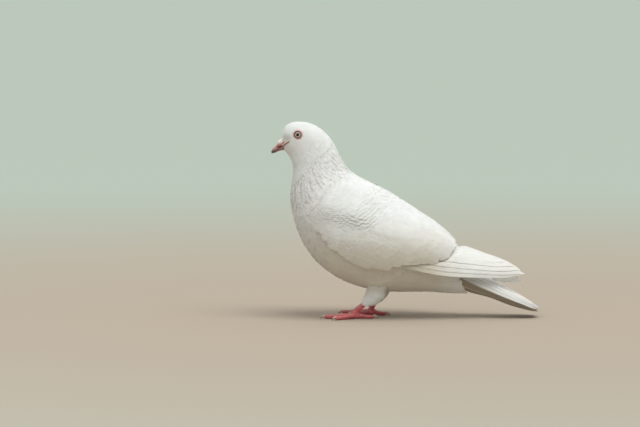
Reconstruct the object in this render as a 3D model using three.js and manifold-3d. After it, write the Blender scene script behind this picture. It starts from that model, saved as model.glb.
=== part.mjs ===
// A white domestic pigeon, standing at rest with its wings folded, as a still life-size model.
// Millimetres, +Z up. The bird faces -X, its left side is towards -Y, and its toes rest on Z = 0.
import * as THREE from "three";
import { mergeVertices } from "three/addons/utils/BufferGeometryUtils.js";
import Module from "manifold-3d";

const wasm = await Module();
wasm.setup();

// ---- Driving dimensions ----------------------------------------------------------------------

const GAP = 0.35; // clearance between pieces that touch
const FINE = 0.06; // how far a facet of a small piece may lie from the true surface
const COARSE = 0.15; // the same for the body, the wings and the tail
const WELD = 1e-4; // corners of a geometry that lie closer than this are one
const PAST = 200; // how far from the middle planes a cutting solid reaches, past every piece

// How many rings each kind of loft has along it, and how many points each ring has.
const FACETS = {
  outside: { rings: 28, points: 20 },
  inside: { rings: 14, points: 12 },
  blade: { rings: 11 },
  tail: { rings: 11 },
  bill: { rings: 8, points: 10 },
  leg: { rings: 6, points: 10 },
  shank: { rings: 5, points: 10 },
  toe: { points: 6 },
  claw: { rings: 5, points: 6 },
};

// The plumage outline as pairs of points in the XZ plane, one on the back and one on the underside,
// with the half width between them. waist is where the widest place lies, from underside to back.
const BODY = [
  { at: "face", back: [-129, 186.5], belly: [-127.5, 175], half: 4.2, waist: 0.5 },
  { at: "brow", back: [-127.2, 197], belly: [-122.8, 170.5], half: 8.4, waist: 0.54 },
  { at: "forehead", back: [-120, 202.8], belly: [-119.4, 164.5], half: 11, waist: 0.58 },
  { at: "crown", back: [-109.5, 204.2], belly: [-117.2, 157.8], half: 12.8, waist: 0.6 },
  { at: "occiput", back: [-97, 202], belly: [-117, 151], half: 14.2, waist: 0.57 },
  { at: "upper nape", back: [-85.6, 195.3], belly: [-117.8, 144.5], half: 15.8, waist: 0.52 },
  { at: "nape", back: [-75.8, 184.6], belly: [-119.2, 137], half: 18.2, waist: 0.5 },
  { at: "neck", back: [-68.3, 170.8], belly: [-120, 129], half: 21.8, waist: 0.48 },
  { at: "neck base", back: [-61.5, 158.3], belly: [-120, 119.5], half: 26.5, waist: 0.47 },
  { at: "shoulder", back: [-51.5, 147.6], belly: [-117.5, 106], half: 33.5, waist: 0.47 },
  { at: "mantle", back: [-38, 140], belly: [-111.8, 87], half: 40.5, waist: 0.48 },
  { at: "upper back", back: [-21, 132], belly: [-99.5, 64.5], half: 45, waist: 0.5 },
  { at: "back", back: [-3, 121], belly: [-80, 46], half: 46.5, waist: 0.53 },
  { at: "loin", back: [15, 109], belly: [-56.5, 34], half: 45, waist: 0.56 },
  { at: "flank", back: [31, 98], belly: [-30.5, 27.2], half: 41, waist: 0.58 },
  { at: "vent", back: [44.5, 86.5], belly: [-4, 25.8], half: 34, waist: 0.58 },
  { at: "tertials", back: [54, 75], belly: [20, 26.2], half: 25.5, waist: 0.56 },
  { at: "rump", back: [61.5, 62.5], belly: [38, 25.2], half: 18.5, waist: 0.54 },
  { at: "tail coverts", back: [70, 51.5], belly: [52, 24.2], half: 13.5, waist: 0.52 },
  { at: "covert tips", back: [77, 43.5], belly: [63, 24.6], half: 8.5, waist: 0.5 },
];

// The folded wing as it shows from the side, and the line along the back where it starts.
const WING_SIDE = [
  [-60, 144.5], [-76, 138], [-87.5, 122], [-93, 107.5], [-91.5, 95.5], [-85.5, 86],
  [-72, 75], [-58, 66], [-43, 60], [-27, 57.5], [-11, 58], [2, 61.5],
  [20, 64.5], [36, 66.5], [48, 70], [54.8, 78], [53, 100], [0, 150],
];
// What lies behind this line of the folded wing is its secondaries, what lies before it its coverts.
const SECONDARIES_SIDE = [
  [-62, 40], [-48, 69], [-22, 77], [6, 88], [24, 108], [34, 140], [90, 140], [90, 40],
];
const WING_TOP = [[-100, 34], [-64, 27], [-38, 20], [0, 9], [30, 2.5], [60, 1], [60, 62], [-100, 62]];
const WING_PROUD = 2.3; // how far the wing stands out of the plumage beside it
const WING_DEEP = 3.2; // how far it is let into the body

// The flight feathers past the wing: a curved blade from a lower edge to an upper edge.
const BLADE = [
  { low: [-16, -40.5, 55.5], high: [-16, -42.5, 60], bulge: 0.3, thick: 1.6 },
  { low: [8, -41, 52.5], high: [8, -40, 68], bulge: 1.5, thick: 2.4 },
  { low: [28, -38.5, 48.6], high: [28, -30, 75], bulge: 3, thick: 2.8 },
  { low: [50, -32.5, 46.2], high: [50, -11, 79], bulge: 4.5, thick: 2.8 },
  { low: [70, -26.5, 45], high: [71, -5.5, 71.6], bulge: 4, thick: 2.4 },
  { low: [90, -21, 43.8], high: [90, -4.5, 65], bulge: 2.8, thick: 2 },
  { low: [104, -16.5, 43], high: [104.5, -4.5, 59.8], bulge: 1.8, thick: 1.7 },
  { low: [114, -13, 42.8], high: [114.5, -5.5, 54], bulge: 1, thick: 1.4 },
  { low: [120.5, -10.5, 43.2], high: [120.5, -7, 49.3], bulge: 0.4, thick: 1.1 },
  { low: [123.6, -9, 44.4], high: [123.6, -8, 46], bulge: 0, thick: 0.8 },
];
const PRIMARIES = 8; // primaries that show, each a shallow step on the blade
const STEP = 0.6; // height of one such step
const STEP_RUN = 0.96; // share of a feather's breadth over which its step comes down to nothing
const PLAIN_RUN = 0.98; // the same for a stack without steps
const BLADE_FULL = 2.4; // thickness of the blade from which its steps have their full height
// How much lower the right wing tip hangs than the left one: it bends down from one place on.
const DROOP = { depth: 10.5, from: 20, length: 103, power: 1.5 };

// The closed tail: an arched stack of feathers above and below the line of its outer edges.
const TAIL = [
  { at: [44, 48], half: 9, up: 6, down: 6 },
  { at: [58, 41.5], half: 15.5, up: 10, down: 13 },
  { at: [71, 35.2], half: 17.5, up: 12.2, down: 11.2 },
  { at: [84, 29.8], half: 18.5, up: 12.6, down: 8.4 },
  { at: [96, 25], half: 19.5, up: 11, down: 7.8 },
  { at: [108, 20], half: 20.5, up: 9, down: 7.8 },
  { at: [120, 15.8], half: 21, up: 6.8, down: 6.8 },
  { at: [129, 11.9], half: 20, up: 4.8, down: 5.3 },
  { at: [135.5, 8.8], half: 16.5, up: 3.6, down: 3 },
  { at: [139.4, 7], half: 9, up: 1.2, down: 0.9 },
];
const RECTRICES = 4; // tail feathers that show on each side
const TAIL_FULL = 5; // height of the arch from which its steps have their full height
const TAIL_ARCH = 2.2; // how full the arch is across: 2 would be an ellipse

// Each foot stands out from the middle plane at its ball, turned outwards by some degrees, and the
// leg leans back over it by a share of the rake that LEG and SHANK give.
// hallux is the reach of the hind toe up to the tip of its claw.
const FEET = {
  left: { side: -1, ball: [-51.5, 19.5], turn: 0, rake: 1, hallux: 24 },
  right: { side: 1, ball: [-34.5, 19.5], turn: 16, rake: 0.44, hallux: 21 },
};
const TOES = [
  // turn is the angle outwards from straight ahead, and reach is the length without the claw
  { name: "middle", turn: 1, reach: 32.5, thick: 2.7, knuckles: 3 },
  { name: "outer", turn: 36, reach: 26.5, thick: 2.5, knuckles: 4 },
  { name: "inner", turn: -34, reach: 23, thick: 2.45, knuckles: 2 },
  { name: "hallux", turn: 186, reach: 17, thick: 2.3, knuckles: 1 },
];
// The pads under a toe stand out between its joints, and the toe comes up to the ball at its root.
const TOE = { root: 1, pad: 0.3, tip: 0.72, taper: 0.2, height: 0.9, lower: 0.16, instep: 1.4 };
// A claw starts inside its toe and falls along a bow. It is a little deeper than wide.
const CLAW = {
  length: 7.5, radius: 1.6, curl: 1.15, rise: 3, inside: 1, shows: 0.7,
  point: 0.4, taper: 1.7, width: 0.8, fall: 0.85, rest: 0.75,
};
const SHANK = [
  { at: [17, 0, 21], half: 2.5, up: 3, down: 3 },
  { at: [8, 0, 14.6], half: 2.4, up: 2.9, down: 2.9 },
  { at: [0.5, 0, 9], half: 2.6, up: 3, down: 3 },
  { at: [-2, 0, 5.4], half: 3.3, up: 3.2, down: 3.2 },
];
const BALL = { at: [0, 0, 3.2], size: [5.4, 4.4, 3.8], detail: 8 };
// The feathered leg, from the fringe over the shank up into the body.
const LEG = [
  { at: [8.4, 0, 12.6], half: 3.5, up: 4, down: 3.8 },
  { at: [11, 0, 15.4], half: 4.8, up: 6, down: 5 },
  { at: [16.5, 0, 21.6], half: 7, up: 9, down: 7.4 },
  { at: [21.5, 0, 30], half: 9.6, up: 13, down: 10.4 },
  { at: [26, 0, 40], half: 11.5, up: 13.5, down: 12.5 },
  { at: [31, 0, 52], half: 12, up: 13, down: 13 },
];

const HEM = 13.2; // height of the hem of the leg's feathers

const EYE = { at: [-110.9, 190], radius: 5.6, out: 7, detail: 12 };

// The joints between head, neck and trunk, as two points of each on the profile.
const THROAT = [[-81, 191], [-119.5, 142]];
const SHOULDERS = [[-60, 155.5], [-121, 116]];
const JOINT = { past: 12, width: 120 };

const WHITE = new THREE.MeshStandardMaterial({ color: 0xf4f1ea, roughness: 0.85 });
const CREAM = new THREE.MeshStandardMaterial({ color: 0xe9e2d4, roughness: 0.85 });
const RED = new THREE.MeshStandardMaterial({ color: 0xb8434a, roughness: 0.6 });
const HORN = new THREE.MeshStandardMaterial({ color: 0xb79c84, roughness: 0.45 });
const PINK = new THREE.MeshStandardMaterial({ color: 0xc98080, roughness: 0.5 });
const CERE = new THREE.MeshStandardMaterial({ color: 0xf0dcd4, roughness: 0.8 });
const DARK = new THREE.MeshStandardMaterial({ color: 0x2a1a14, roughness: 0.1 });

// ---- Solids and surfaces ---------------------------------------------------------------------

// A manifold-3d solid from a three.js geometry.
function solidOf(geometry) {
  const bare = geometry.clone();
  bare.deleteAttribute("normal");
  bare.deleteAttribute("uv");
  const merged = mergeVertices(bare, WELD);
  const triVerts = new Uint32Array(merged.index.array);
  return new wasm.Manifold(
    new wasm.Mesh({ numProp: 3, vertProperties: merged.attributes.position.array, triVerts }),
  );
}

// A three.js geometry from a manifold-3d solid.
function geometryOf(solid) {
  const mesh = solid.getMesh();
  const positions = new Float32Array(mesh.numVert * 3);
  for (let i = 0; i < mesh.numVert; i++) {
    const from = i * mesh.numProp;
    positions.set(mesh.vertProperties.subarray(from, from + 3), i * 3);
  }
  const geometry = new THREE.BufferGeometry();
  geometry.setAttribute("position", new THREE.BufferAttribute(positions, 3));
  geometry.setIndex(new THREE.BufferAttribute(new Uint32Array(mesh.triVerts), 1));
  geometry.computeVertexNormals();
  return geometry;
}

// The largest connected body of a solid, without the slivers that a cut leaves.
function largest(solid) {
  return solid.decompose().sort((a, b) => b.volume() - a.volume())[0];
}

const middle = (points) =>
  points.reduce((sum, p) => sum.add(p), new THREE.Vector3()).divideScalar(points.length);

// A closed solid through rings of equally many points, each end closed by a fan and moved out by a
// margin. Rings may turn either way round: the faces are set to point out.
function loft(rings, margin = 0) {
  const count = rings[0].length;
  for (const [end, next] of [[rings[0], rings[1]], [rings.at(-1), rings.at(-2)]]) {
    const out = middle(end).sub(middle(next)).setLength(margin);
    end.forEach((point) => point.add(out));
  }
  const points = rings.flat();
  const faces = [];
  for (let i = 0; i + 1 < rings.length; i++)
    for (let j = 0; j < count; j++) {
      const a = i * count + j;
      const b = i * count + ((j + 1) % count);
      faces.push([a, b, a + count], [b, b + count, a + count]);
    }
  const last = (rings.length - 1) * count;
  points.push(middle(rings[0]), middle(rings.at(-1)));
  for (let j = 0; j < count; j++) {
    const next = (j + 1) % count;
    faces.push([points.length - 2, next, j], [points.length - 1, last + j, last + next]);
  }
  const volume = faces.reduce(
    (sum, [a, b, c]) => sum + points[a].dot(points[b].clone().cross(points[c])),
    0,
  );
  const outward = volume > 0 ? faces : faces.map(([a, b, c]) => [a, c, b]);
  const geometry = new THREE.BufferGeometry().setFromPoints(points);
  geometry.setIndex(outward.flat());
  return solidOf(geometry);
}

// Values of the rows at a share of the way along them, on a smooth curve through the rows.
function smooth(rows, read, share) {
  const values = rows.map(read);
  const place = share * (rows.length - 1);
  const i = Math.min(Math.floor(place), rows.length - 2);
  const t = place - i;
  const row = (k) => values[Math.max(0, Math.min(values.length - 1, k))];
  return values[0].map((_, c) => {
    const [p, q, r, s] = [row(i - 1)[c], row(i)[c], row(i + 1)[c], row(i + 2)[c]];
    const [m, n] = [(r - p) / 2, (s - q) / 2];
    return (
      q + m * t + (3 * (r - q) - 2 * m - n) * t * t + (2 * (q - r) + m + n) * t * t * t
    );
  });
}

const span = (count, from = 0, to = 1) =>
  Array.from({ length: count }, (_, i) => from + ((to - from) * i) / (count - 1));

// An egg-shaped ring: up and down are the half heights along the up vector, half is the half width.
function oval(centre, side, up, { half, high, low }, count) {
  return span(count + 1, 0, 2 * Math.PI)
    .slice(0, count)
    .map((angle) => {
      const rise = Math.cos(angle);
      return centre
        .clone()
        .addScaledVector(up, rise * (rise > 0 ? high : low))
        .addScaledVector(side, Math.sin(angle) * half);
    });
}

// ---- The body --------------------------------------------------------------------------------

const ACROSS = new THREE.Vector3(0, 1, 0);
const inProfile = ([x, z]) => new THREE.Vector3(x, 0, z);

// The plumage outline, grown all round by some millimetres.
function plumage(grow, facets = FACETS.outside) {
  const rings = span(facets.rings).map((share) => {
    const back = inProfile(smooth(BODY, (row) => row.back, share));
    const belly = inProfile(smooth(BODY, (row) => row.belly, share));
    const [half, waist] = smooth(BODY, (row) => [row.half, row.waist], share);
    const depth = back.distanceTo(belly);
    const up = back.clone().sub(belly).normalize();
    const centre = belly.clone().lerp(back, waist);
    const high = depth * (1 - waist) + grow;
    const low = depth * waist + grow;
    return oval(centre, ACROSS, up, { half: half + grow, high, low }, facets.points);
  });
  return loft(rings);
}

// A prism of an outline grown by a margin: a round outline through Y, or a straight one through Z.
function prism(outline, margin, along) {
  const corners = outline.map(([x, y]) => new THREE.Vector3(x, y, 0));
  const curve = new THREE.CatmullRomCurve3(corners, true, "centripetal");
  const edge = along === "Y" ? curve.getPoints(3 * corners.length).slice(1) : corners;
  const turn = Math.sign(THREE.ShapeUtils.area(edge));
  const grown = edge.map((point, i) => {
    const ahead = edge[(i + 1) % edge.length].clone().sub(edge.at(i - 1)).normalize();
    return new THREE.Vector2(point.x + turn * margin * ahead.y, point.y - turn * margin * ahead.x);
  });
  const shape = new THREE.Shape(grown);
  const geometry = new THREE.ExtrudeGeometry(shape, { depth: 2 * PAST, bevelEnabled: false });
  geometry.translate(0, 0, -PAST);
  return solidOf(along === "Y" ? geometry.rotateX(Math.PI / 2) : geometry.translate(0, 0, PAST));
}

// The part of the side view that the secondaries take.
const secondaryRegion = (margin) => prism(SECONDARIES_SIDE, margin, "Y");

// The folded wing over one side of the body, between an outer and an inner skin.
function wing(side, margin = 0) {
  const outer = plumage(WING_PROUD + margin);
  const inner = plumage(-WING_DEEP - margin, FACETS.inside);
  const seenFromSide = prism(WING_SIDE, margin, "Y");
  const seenFromTop = prism(
    WING_TOP.map(([x, y]) => [x, side * y]),
    margin,
    "Z",
  );
  return largest(outer.subtract(inner).intersect(seenFromSide).intersect(seenFromTop));
}

// Shares across a stack of feathers, two for each feather, with the height of the step there. A
// grown stack is only cut away from its neighbours, and is plain.
function stack(feathers, margin) {
  if (margin > 0) return span(4, 0, PLAIN_RUN).map((u) => [u, STEP]);
  return span(feathers, 0, feathers - 1).flatMap((i) => [
    [i / feathers, STEP],
    [(i + STEP_RUN) / feathers, 0],
  ]);
}

// The flight feathers of one wing. Each feather lies a little over the one below it.
function blade(side, margin = 0) {
  const rings = span(FACETS.blade.rings).map((share) => {
    const low = new THREE.Vector3(...smooth(BLADE, (row) => row.low, share));
    const high = new THREE.Vector3(...smooth(BLADE, (row) => row.high, share));
    const [bulge, thick] = smooth(BLADE, (row) => [row.bulge, row.thick], share);
    const out = new THREE.Vector3(1, 0, 0).cross(high.clone().sub(low)).normalize();
    const bend = Math.max(0, (low.x - DROOP.from) / DROOP.length) ** DROOP.power;
    const droop = side > 0 ? DROOP.depth * bend : 0;
    const full = Math.min(1, thick / BLADE_FULL);
    const at = (u, rise) =>
      low.clone().lerp(high, u).addScaledVector(out, bulge * 4 * u * (1 - u) + rise);
    const outer = stack(PRIMARIES, margin).map(([u, step]) => at(u, step * full + margin));
    const inner = span(4, 1, 0).map((u) => at(u, -thick - margin));
    return [...outer, ...inner].map(
      (point) => new THREE.Vector3(point.x, -side * point.y, point.z - droop),
    );
  });
  return loft(rings, margin);
}

// The closed tail. Its middle feathers lie on top, and each outer one shows a little below the last.
function tail(margin = 0) {
  const rings = span(FACETS.tail.rings).map((share) => {
    const [x, z] = smooth(TAIL, (row) => row.at, share);
    const [half, high, low] = smooth(TAIL, (row) => [row.half, row.up, row.down], share);
    const steps = stack(RECTRICES, margin).map(([u, step]) => [
      1 - u,
      margin ? 0 : step * Math.min(1, high / TAIL_FULL),
    ]);
    const at = (u, rise, size) =>
      new THREE.Vector3(
        x,
        u * (half + margin),
        z + rise * ((size + margin) * Math.sqrt(1 - Math.abs(u) ** TAIL_ARCH)),
      );
    const quarter = (sign, rise, size) =>
      steps.map(([u, step]) => at(sign * u, rise, size - step));
    return [
      ...quarter(1, 1, high),
      ...quarter(-1, 1, high).reverse(),
      ...quarter(-1, -1, low),
      ...quarter(1, -1, low).reverse(),
    ];
  });
  return loft(rings, margin);
}

// ---- The head --------------------------------------------------------------------------------

// A solid between an upper and a lower line in the middle plane, round across.
function mandible(rows, margin = 0) {
  const rings = span(FACETS.bill.rings).map((share) => {
    const top = inProfile(smooth(rows, (row) => row.top, share));
    const bottom = inProfile(smooth(rows, (row) => row.bottom, share));
    const [half, waist] = smooth(rows, (row) => [row.half, row.waist], share);
    const up = top.clone().sub(bottom).normalize();
    const depth = top.distanceTo(bottom);
    const size = {
      half: half + margin,
      high: depth * (1 - waist) + margin,
      low: depth * waist + margin,
    };
    return oval(bottom.clone().lerp(top, waist), ACROSS, up, size, FACETS.bill.points);
  });
  return loft(rings, margin);
}

const UPPER_BILL = [
  { top: [-120, 187.5], bottom: [-118.5, 184], half: 4.4, waist: 0.3 },
  { top: [-125.5, 187], bottom: [-123.6, 181.4], half: 4.2, waist: 0.25 },
  { top: [-131, 182], bottom: [-129, 177.6], half: 3.6, waist: 0.2 },
  { top: [-135, 178.4], bottom: [-133, 174.9], half: 2.9, waist: 0.2 },
  { top: [-138.1, 175.2], bottom: [-136, 172.8], half: 2.2, waist: 0.3 },
  { top: [-139.4, 172.6], bottom: [-137.6, 171.4], half: 1.3, waist: 0.4 },
  { top: [-139.1, 170.9], bottom: [-138.5, 170.5], half: 0.5, waist: 0.5 },
];
const LOWER_BILL = [
  { top: [-119, 183.2], bottom: [-120.5, 177], half: 4, waist: 0.7 },
  { top: [-124, 180.6], bottom: [-124, 174.7], half: 3.8, waist: 0.75 },
  { top: [-129.2, 177.1], bottom: [-128.8, 174], half: 3.2, waist: 0.75 },
  { top: [-133.1, 174.4], bottom: [-132.6, 172.5], half: 2.4, waist: 0.7 },
  { top: [-136, 172.4], bottom: [-135.4, 171.3], half: 1.6, waist: 0.6 },
  { top: [-137.3, 171.2], bottom: [-137, 170.7], half: 0.6, waist: 0.5 },
];
// One of the two swellings over the nostrils, long along the bill.
const CERE_LOBE = { at: [-129, 182.9], size: [5.4, 2.9, 2.8], aside: 2.1, lean: 0.62, detail: 9 };

// An ellipsoid with so many facets round it and a ring of corners at its middle. It may lean.
const ellipsoid = ([x, y, z], [rx, ry, rz], { lean = 0, detail }) =>
  new THREE.SphereGeometry(1, detail, 2 * Math.round(detail / 3))
    .scale(rx, ry, rz)
    .rotateY(lean)
    .translate(x, y, z);

// The cere: two lobes joined over the ridge of the bill.
function cere(margin = 0) {
  const { at, size, aside, lean, detail } = CERE_LOBE;
  const grown = size.map((s) => s + margin);
  const [left, right] = [-1, 1].map((side) =>
    solidOf(ellipsoid([at[0], side * aside, at[1]], grown, { lean: -lean, detail })),
  );
  return left.add(right);
}

// The whole eyeball of one side; most of it lies inside the head.
const eyeball = (side, margin = 0) => {
  const radius = EYE.radius + margin;
  const centre = [EYE.at[0], side * EYE.out, EYE.at[1]];
  return solidOf(ellipsoid(centre, [radius, radius, radius], { detail: EYE.detail }));
};

// ---- Legs and feet ---------------------------------------------------------------------------

// A tube through a list of rows, with its own half width and half heights at each. Its width stays
// level, so that a toe lies flat.
function limb(rows, { rings: number = rows.length, points }, margin = 0) {
  const centre = (share) => new THREE.Vector3(...smooth(rows, (row) => row.at, share));
  const run = centre(1).sub(centre(0));
  const side = new THREE.Vector3(-run.y, run.x, 0).normalize();
  const near = 0.02; // share of the limb over which its direction is read
  const rings = span(number).map((share) => {
    const [half, high, low] = smooth(rows, (row) => [row.half, row.up, row.down], share);
    const ahead = centre(Math.min(1, share + near)).sub(centre(Math.max(0, share - near)));
    const up = side.clone().cross(ahead.normalize());
    const flip = up.z < 0 ? -1 : 1;
    const size = { half: half + margin, high: high + margin, low: low + margin };
    return oval(centre(share), side, up.multiplyScalar(flip), size, points);
  });
  return loft(rings, margin);
}

// The direction of a toe in its foot's own frame.
const heading = (turn, side) => {
  const angle = Math.PI + side * THREE.MathUtils.degToRad(-turn);
  return [Math.cos(angle), Math.sin(angle)];
};

// A toe with its knuckles and pads: it runs out from the ball of the foot.
function toe({ turn, reach, thick, knuckles }, side, margin = 0) {
  const [ahead, aside] = heading(turn, side);
  const rows = span(2 * knuckles + 3).map((share, i, all) => {
    const pad = i % 2 ? TOE.pad : 0;
    const tip = i === all.length - 1 ? TOE.tip : 1;
    const size = (thick * (1 - TOE.taper * share) + pad) * tip;
    const distance = TOE.root + (reach - TOE.root) * share;
    const height = thick * (TOE.height - TOE.lower * share) + TOE.instep * (1 - share) ** 2;
    return { at: [ahead * distance, aside * distance, height], half: size, up: size, down: size };
  });
  return limb(rows, FACETS.toe, margin);
}

// A curved claw from the end of a toe, coming down to the floor.
function claw({ turn, reach }, side) {
  const [ahead, aside] = heading(turn, side);
  const rows = span(FACETS.claw.rings).map((share) => {
    const bend = CLAW.curl * share;
    const distance = reach - CLAW.inside + (CLAW.length * Math.sin(bend)) / CLAW.curl;
    const drop = (CLAW.length * (1 - Math.cos(bend))) / CLAW.curl;
    const size = Math.max(CLAW.point, CLAW.radius * (1 - share ** CLAW.taper));
    const height = Math.max(CLAW.rest * size, CLAW.rise - CLAW.fall * drop);
    const at = [ahead * distance, aside * distance, height];
    return { at, half: size * CLAW.width, up: size, down: size };
  });
  return limb(rows, FACETS.claw);
}

// The rows of a leg or shank, leaning back by a share of their rake.
const raked = (rows, rake) => rows.map((row) => ({ ...row, at: [row.at[0] * rake, 0, row.at[2]] }));

// The bare shank with the ball of the foot under it.
function shank(rake, margin = 0) {
  const size = BALL.size.map((s) => s + margin);
  const ball = solidOf(ellipsoid(BALL.at, size, { detail: BALL.detail }));
  return limb(raked(SHANK, rake), FACETS.shank, margin).add(ball);
}

// What is under the floor, to give the foot its small flats.
const BELOW_FLOOR = solidOf(
  new THREE.BoxGeometry(2 * PAST, 2 * PAST, 2 * PAST).translate(0, 0, -PAST),
);
const onFloor = (solid) => largest(solid.subtract(BELOW_FLOOR));

// ---- Assembly --------------------------------------------------------------------------------

function add(parent, name, solid, material, tolerance = FINE) {
  const mesh = new THREE.Mesh(geometryOf(largest(solid.simplify(tolerance))), material);
  mesh.name = name;
  parent.add(mesh);
}

// One leg as a group that stands at the ball of the foot. Its top ends at the plumage of the belly.
function legGroup(name, { side, ball, turn, rake, hallux }) {
  const group = new THREE.Group();
  group.position.set(ball[0], side * ball[1], 0);
  group.rotation.z = -side * THREE.MathUtils.degToRad(turn);
  group.updateMatrix();

  const footCut = shank(rake, GAP);
  const leg = limb(raked(LEG, rake), FACETS.leg);
  const belly = plumage(GAP).transform(group.matrix.clone().invert().elements);
  const hem = BELOW_FLOOR.translate([0, 0, HEM]);
  add(group, `leg_${name}`, largest(leg.subtract(footCut).subtract(belly).subtract(hem)), WHITE);
  add(group, `shank_${name}`, onFloor(shank(rake)), RED);

  const hind = { reach: hallux - CLAW.length * CLAW.shows };
  const toes = TOES.map((spec) => (spec.name === "hallux" ? { ...spec, ...hind } : spec));
  let taken = footCut;
  for (const spec of toes) {
    const flesh = onFloor(toe(spec, side).subtract(taken));
    const fleshCut = toe(spec, side, GAP);
    add(group, `toe_${spec.name}_${name}`, flesh, RED);
    add(group, `claw_${spec.name}_${name}`, onFloor(claw(spec, side).subtract(fleshCut)), HORN);
    taken = taken.add(fleshCut);
  }
  return group;
}

// A thin slab across the body, through two points of its profile, that parts it in two.
function slab([x0, z0], [x1, z1]) {
  const length = Math.hypot(x1 - x0, z1 - z0) + JOINT.past;
  const geometry = new THREE.BoxGeometry(length, JOINT.width, GAP);
  geometry.rotateY(-Math.atan2(z1 - z0, x1 - x0));
  return solidOf(geometry.translate((x0 + x1) / 2, 0, (z0 + z1) / 2));
}

const bird = new THREE.Group();
Object.entries(FEET).forEach(([name, foot]) => bird.add(legGroup(name, foot)));

// The body, less the room of everything let into it, parted into head, neck and trunk.
let body = plumage(0);
for (const side of [-1, 1]) {
  body = body.subtract(wing(side, GAP)).subtract(blade(side, GAP)).subtract(eyeball(side, GAP));
}
const tailRoom = tail(2 * GAP);
const billRoom = mandible(UPPER_BILL, GAP).add(mandible(LOWER_BILL, GAP)).add(cere(GAP));
const parted = body
  .subtract(tailRoom)
  .subtract(billRoom)
  .subtract(slab(...THROAT))
  .subtract(slab(...SHOULDERS))
  .decompose()
  .sort((a, b) => b.volume() - a.volume())
  .slice(0, 3);
const height = (solid) => solid.boundingBox().max[2];
const [head, neck, trunk] = parted.sort((a, b) => height(b) - height(a));
add(bird, "head", head, WHITE, 2 * FINE);
add(bird, "neck", neck, WHITE, COARSE);
add(bird, "trunk", trunk, WHITE, COARSE);

for (const [name, { side }] of Object.entries(FEET)) {
  const folded = wing(side);
  const feathers = blade(side).subtract(wing(side, GAP)).subtract(tailRoom);
  add(bird, `wing_coverts_${name}`, folded.subtract(secondaryRegion(GAP)), WHITE, COARSE);
  add(bird, `secondaries_${name}`, folded.intersect(secondaryRegion(0)), WHITE, COARSE);
  add(bird, `primaries_${name}`, feathers, CREAM, COARSE);
  add(bird, `eye_${name}`, eyeball(side), DARK);
}
add(bird, "tail", tail(), CREAM, COARSE);
add(bird, "cere", cere(), CERE);
add(bird, "bill_upper", mandible(UPPER_BILL).subtract(cere(GAP)), PINK);
add(bird, "bill_lower", mandible(LOWER_BILL).subtract(mandible(UPPER_BILL, GAP)), PINK);

export default bird;
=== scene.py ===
"""A white domestic pigeon at rest, as a still, life-size model: its skin, feathers, eyes, bill and feet.

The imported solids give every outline.  The bird faces -X and its left side is towards -Y.  The body
is read off the solids as one smooth form, and every feather is a thin closed vane laid along it.
"""
import logging
import math
from collections.abc import Callable, Sequence
from dataclasses import dataclass, field
from enum import Enum

import bpy
import numpy as np
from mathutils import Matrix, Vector
from mathutils.bvhtree import BVHTree
from mathutils.kdtree import KDTree


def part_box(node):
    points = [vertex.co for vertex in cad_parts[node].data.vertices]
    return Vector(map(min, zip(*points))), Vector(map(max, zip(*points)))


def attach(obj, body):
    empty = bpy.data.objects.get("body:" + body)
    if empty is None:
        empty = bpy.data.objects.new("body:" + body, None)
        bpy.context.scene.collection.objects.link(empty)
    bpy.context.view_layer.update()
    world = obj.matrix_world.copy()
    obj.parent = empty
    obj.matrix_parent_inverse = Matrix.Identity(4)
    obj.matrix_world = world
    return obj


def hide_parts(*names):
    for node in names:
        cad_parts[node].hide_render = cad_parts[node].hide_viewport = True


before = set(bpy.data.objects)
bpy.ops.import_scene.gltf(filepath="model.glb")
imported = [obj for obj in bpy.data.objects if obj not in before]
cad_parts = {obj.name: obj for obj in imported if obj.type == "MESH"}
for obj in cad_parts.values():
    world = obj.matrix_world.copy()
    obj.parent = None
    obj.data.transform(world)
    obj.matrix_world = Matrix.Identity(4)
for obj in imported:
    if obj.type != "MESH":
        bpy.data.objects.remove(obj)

Array = np.ndarray
Piece, Material = bpy.types.Object, bpy.types.Material
Socket, NodeTree = bpy.types.NodeSocket, bpy.types.NodeTree
Pair, Triple = tuple[float, float], tuple[float, float, float]
Draws = np.random.Generator
norm = np.linalg.norm
MM = 0.001
BODY = "root"
FLESH = ("head", "neck", "trunk")
TOES = ("middle", "outer", "inner", "hallux")
# The thighs are drawn into the belly more and more between the first two heights, up to the third.
THIGH_LOW, THIGH_HIGH, THIGH_END = 25 * MM, 34 * MM, 46 * MM
log = logging.getLogger("pigeon")


class Side(Enum):
    """The two sides of the bird, by the sign of Y."""

    LEFT = -1
    RIGHT = 1

    @property
    def label(self) -> str:
        """The side as node names end with it."""
        return self.name.lower()


def side_nodes(*parts: str) -> list[str]:
    """Returns the names of parts on both sides."""
    return [f"{part}_{side.label}" for part in parts for side in Side]


# ---- Numbers ----


def unit(vectors: Array) -> Array:
    """Returns vectors scaled to length one along their last axis."""
    return vectors / np.maximum(norm(vectors, axis=-1, keepdims=True), 1e-12)


def dot(a: Array, b: Array) -> Array:
    """Returns the dot products along the last axis."""
    return (a * b).sum(-1)


def ease(value: Array, low: float, high: float) -> Array:
    """Returns 0 below low, 1 above high and a smooth step between."""
    share = np.clip((value - low) / (high - low), 0, 1)
    return share * share * (3 - 2 * share)


def drape(heading: Array, normal: Array) -> Array:
    """Returns headings turned until they lie along a surface with those normals."""
    return unit(heading - normal * dot(heading, normal)[:, None])


def travelled(steps: Array) -> Array:
    """Returns how far each place is from the first, for the steps between them."""
    return np.concatenate([[0], np.cumsum(steps)])


def gaps(ring: Array) -> Array:
    """Returns the distance from each place on a closed line to the next."""
    return norm(np.roll(ring, -1, 0) - ring, axis=1)


def doubled(grid: Array) -> Array:
    """Lists a grid's rows for the top of a thin mesh, then for its underside, which has no rim."""
    parts = (grid, grid[1:-1, 1:-1])
    return np.concatenate([part.reshape(part.shape[0] * part.shape[1], -1) for part in parts])


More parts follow.
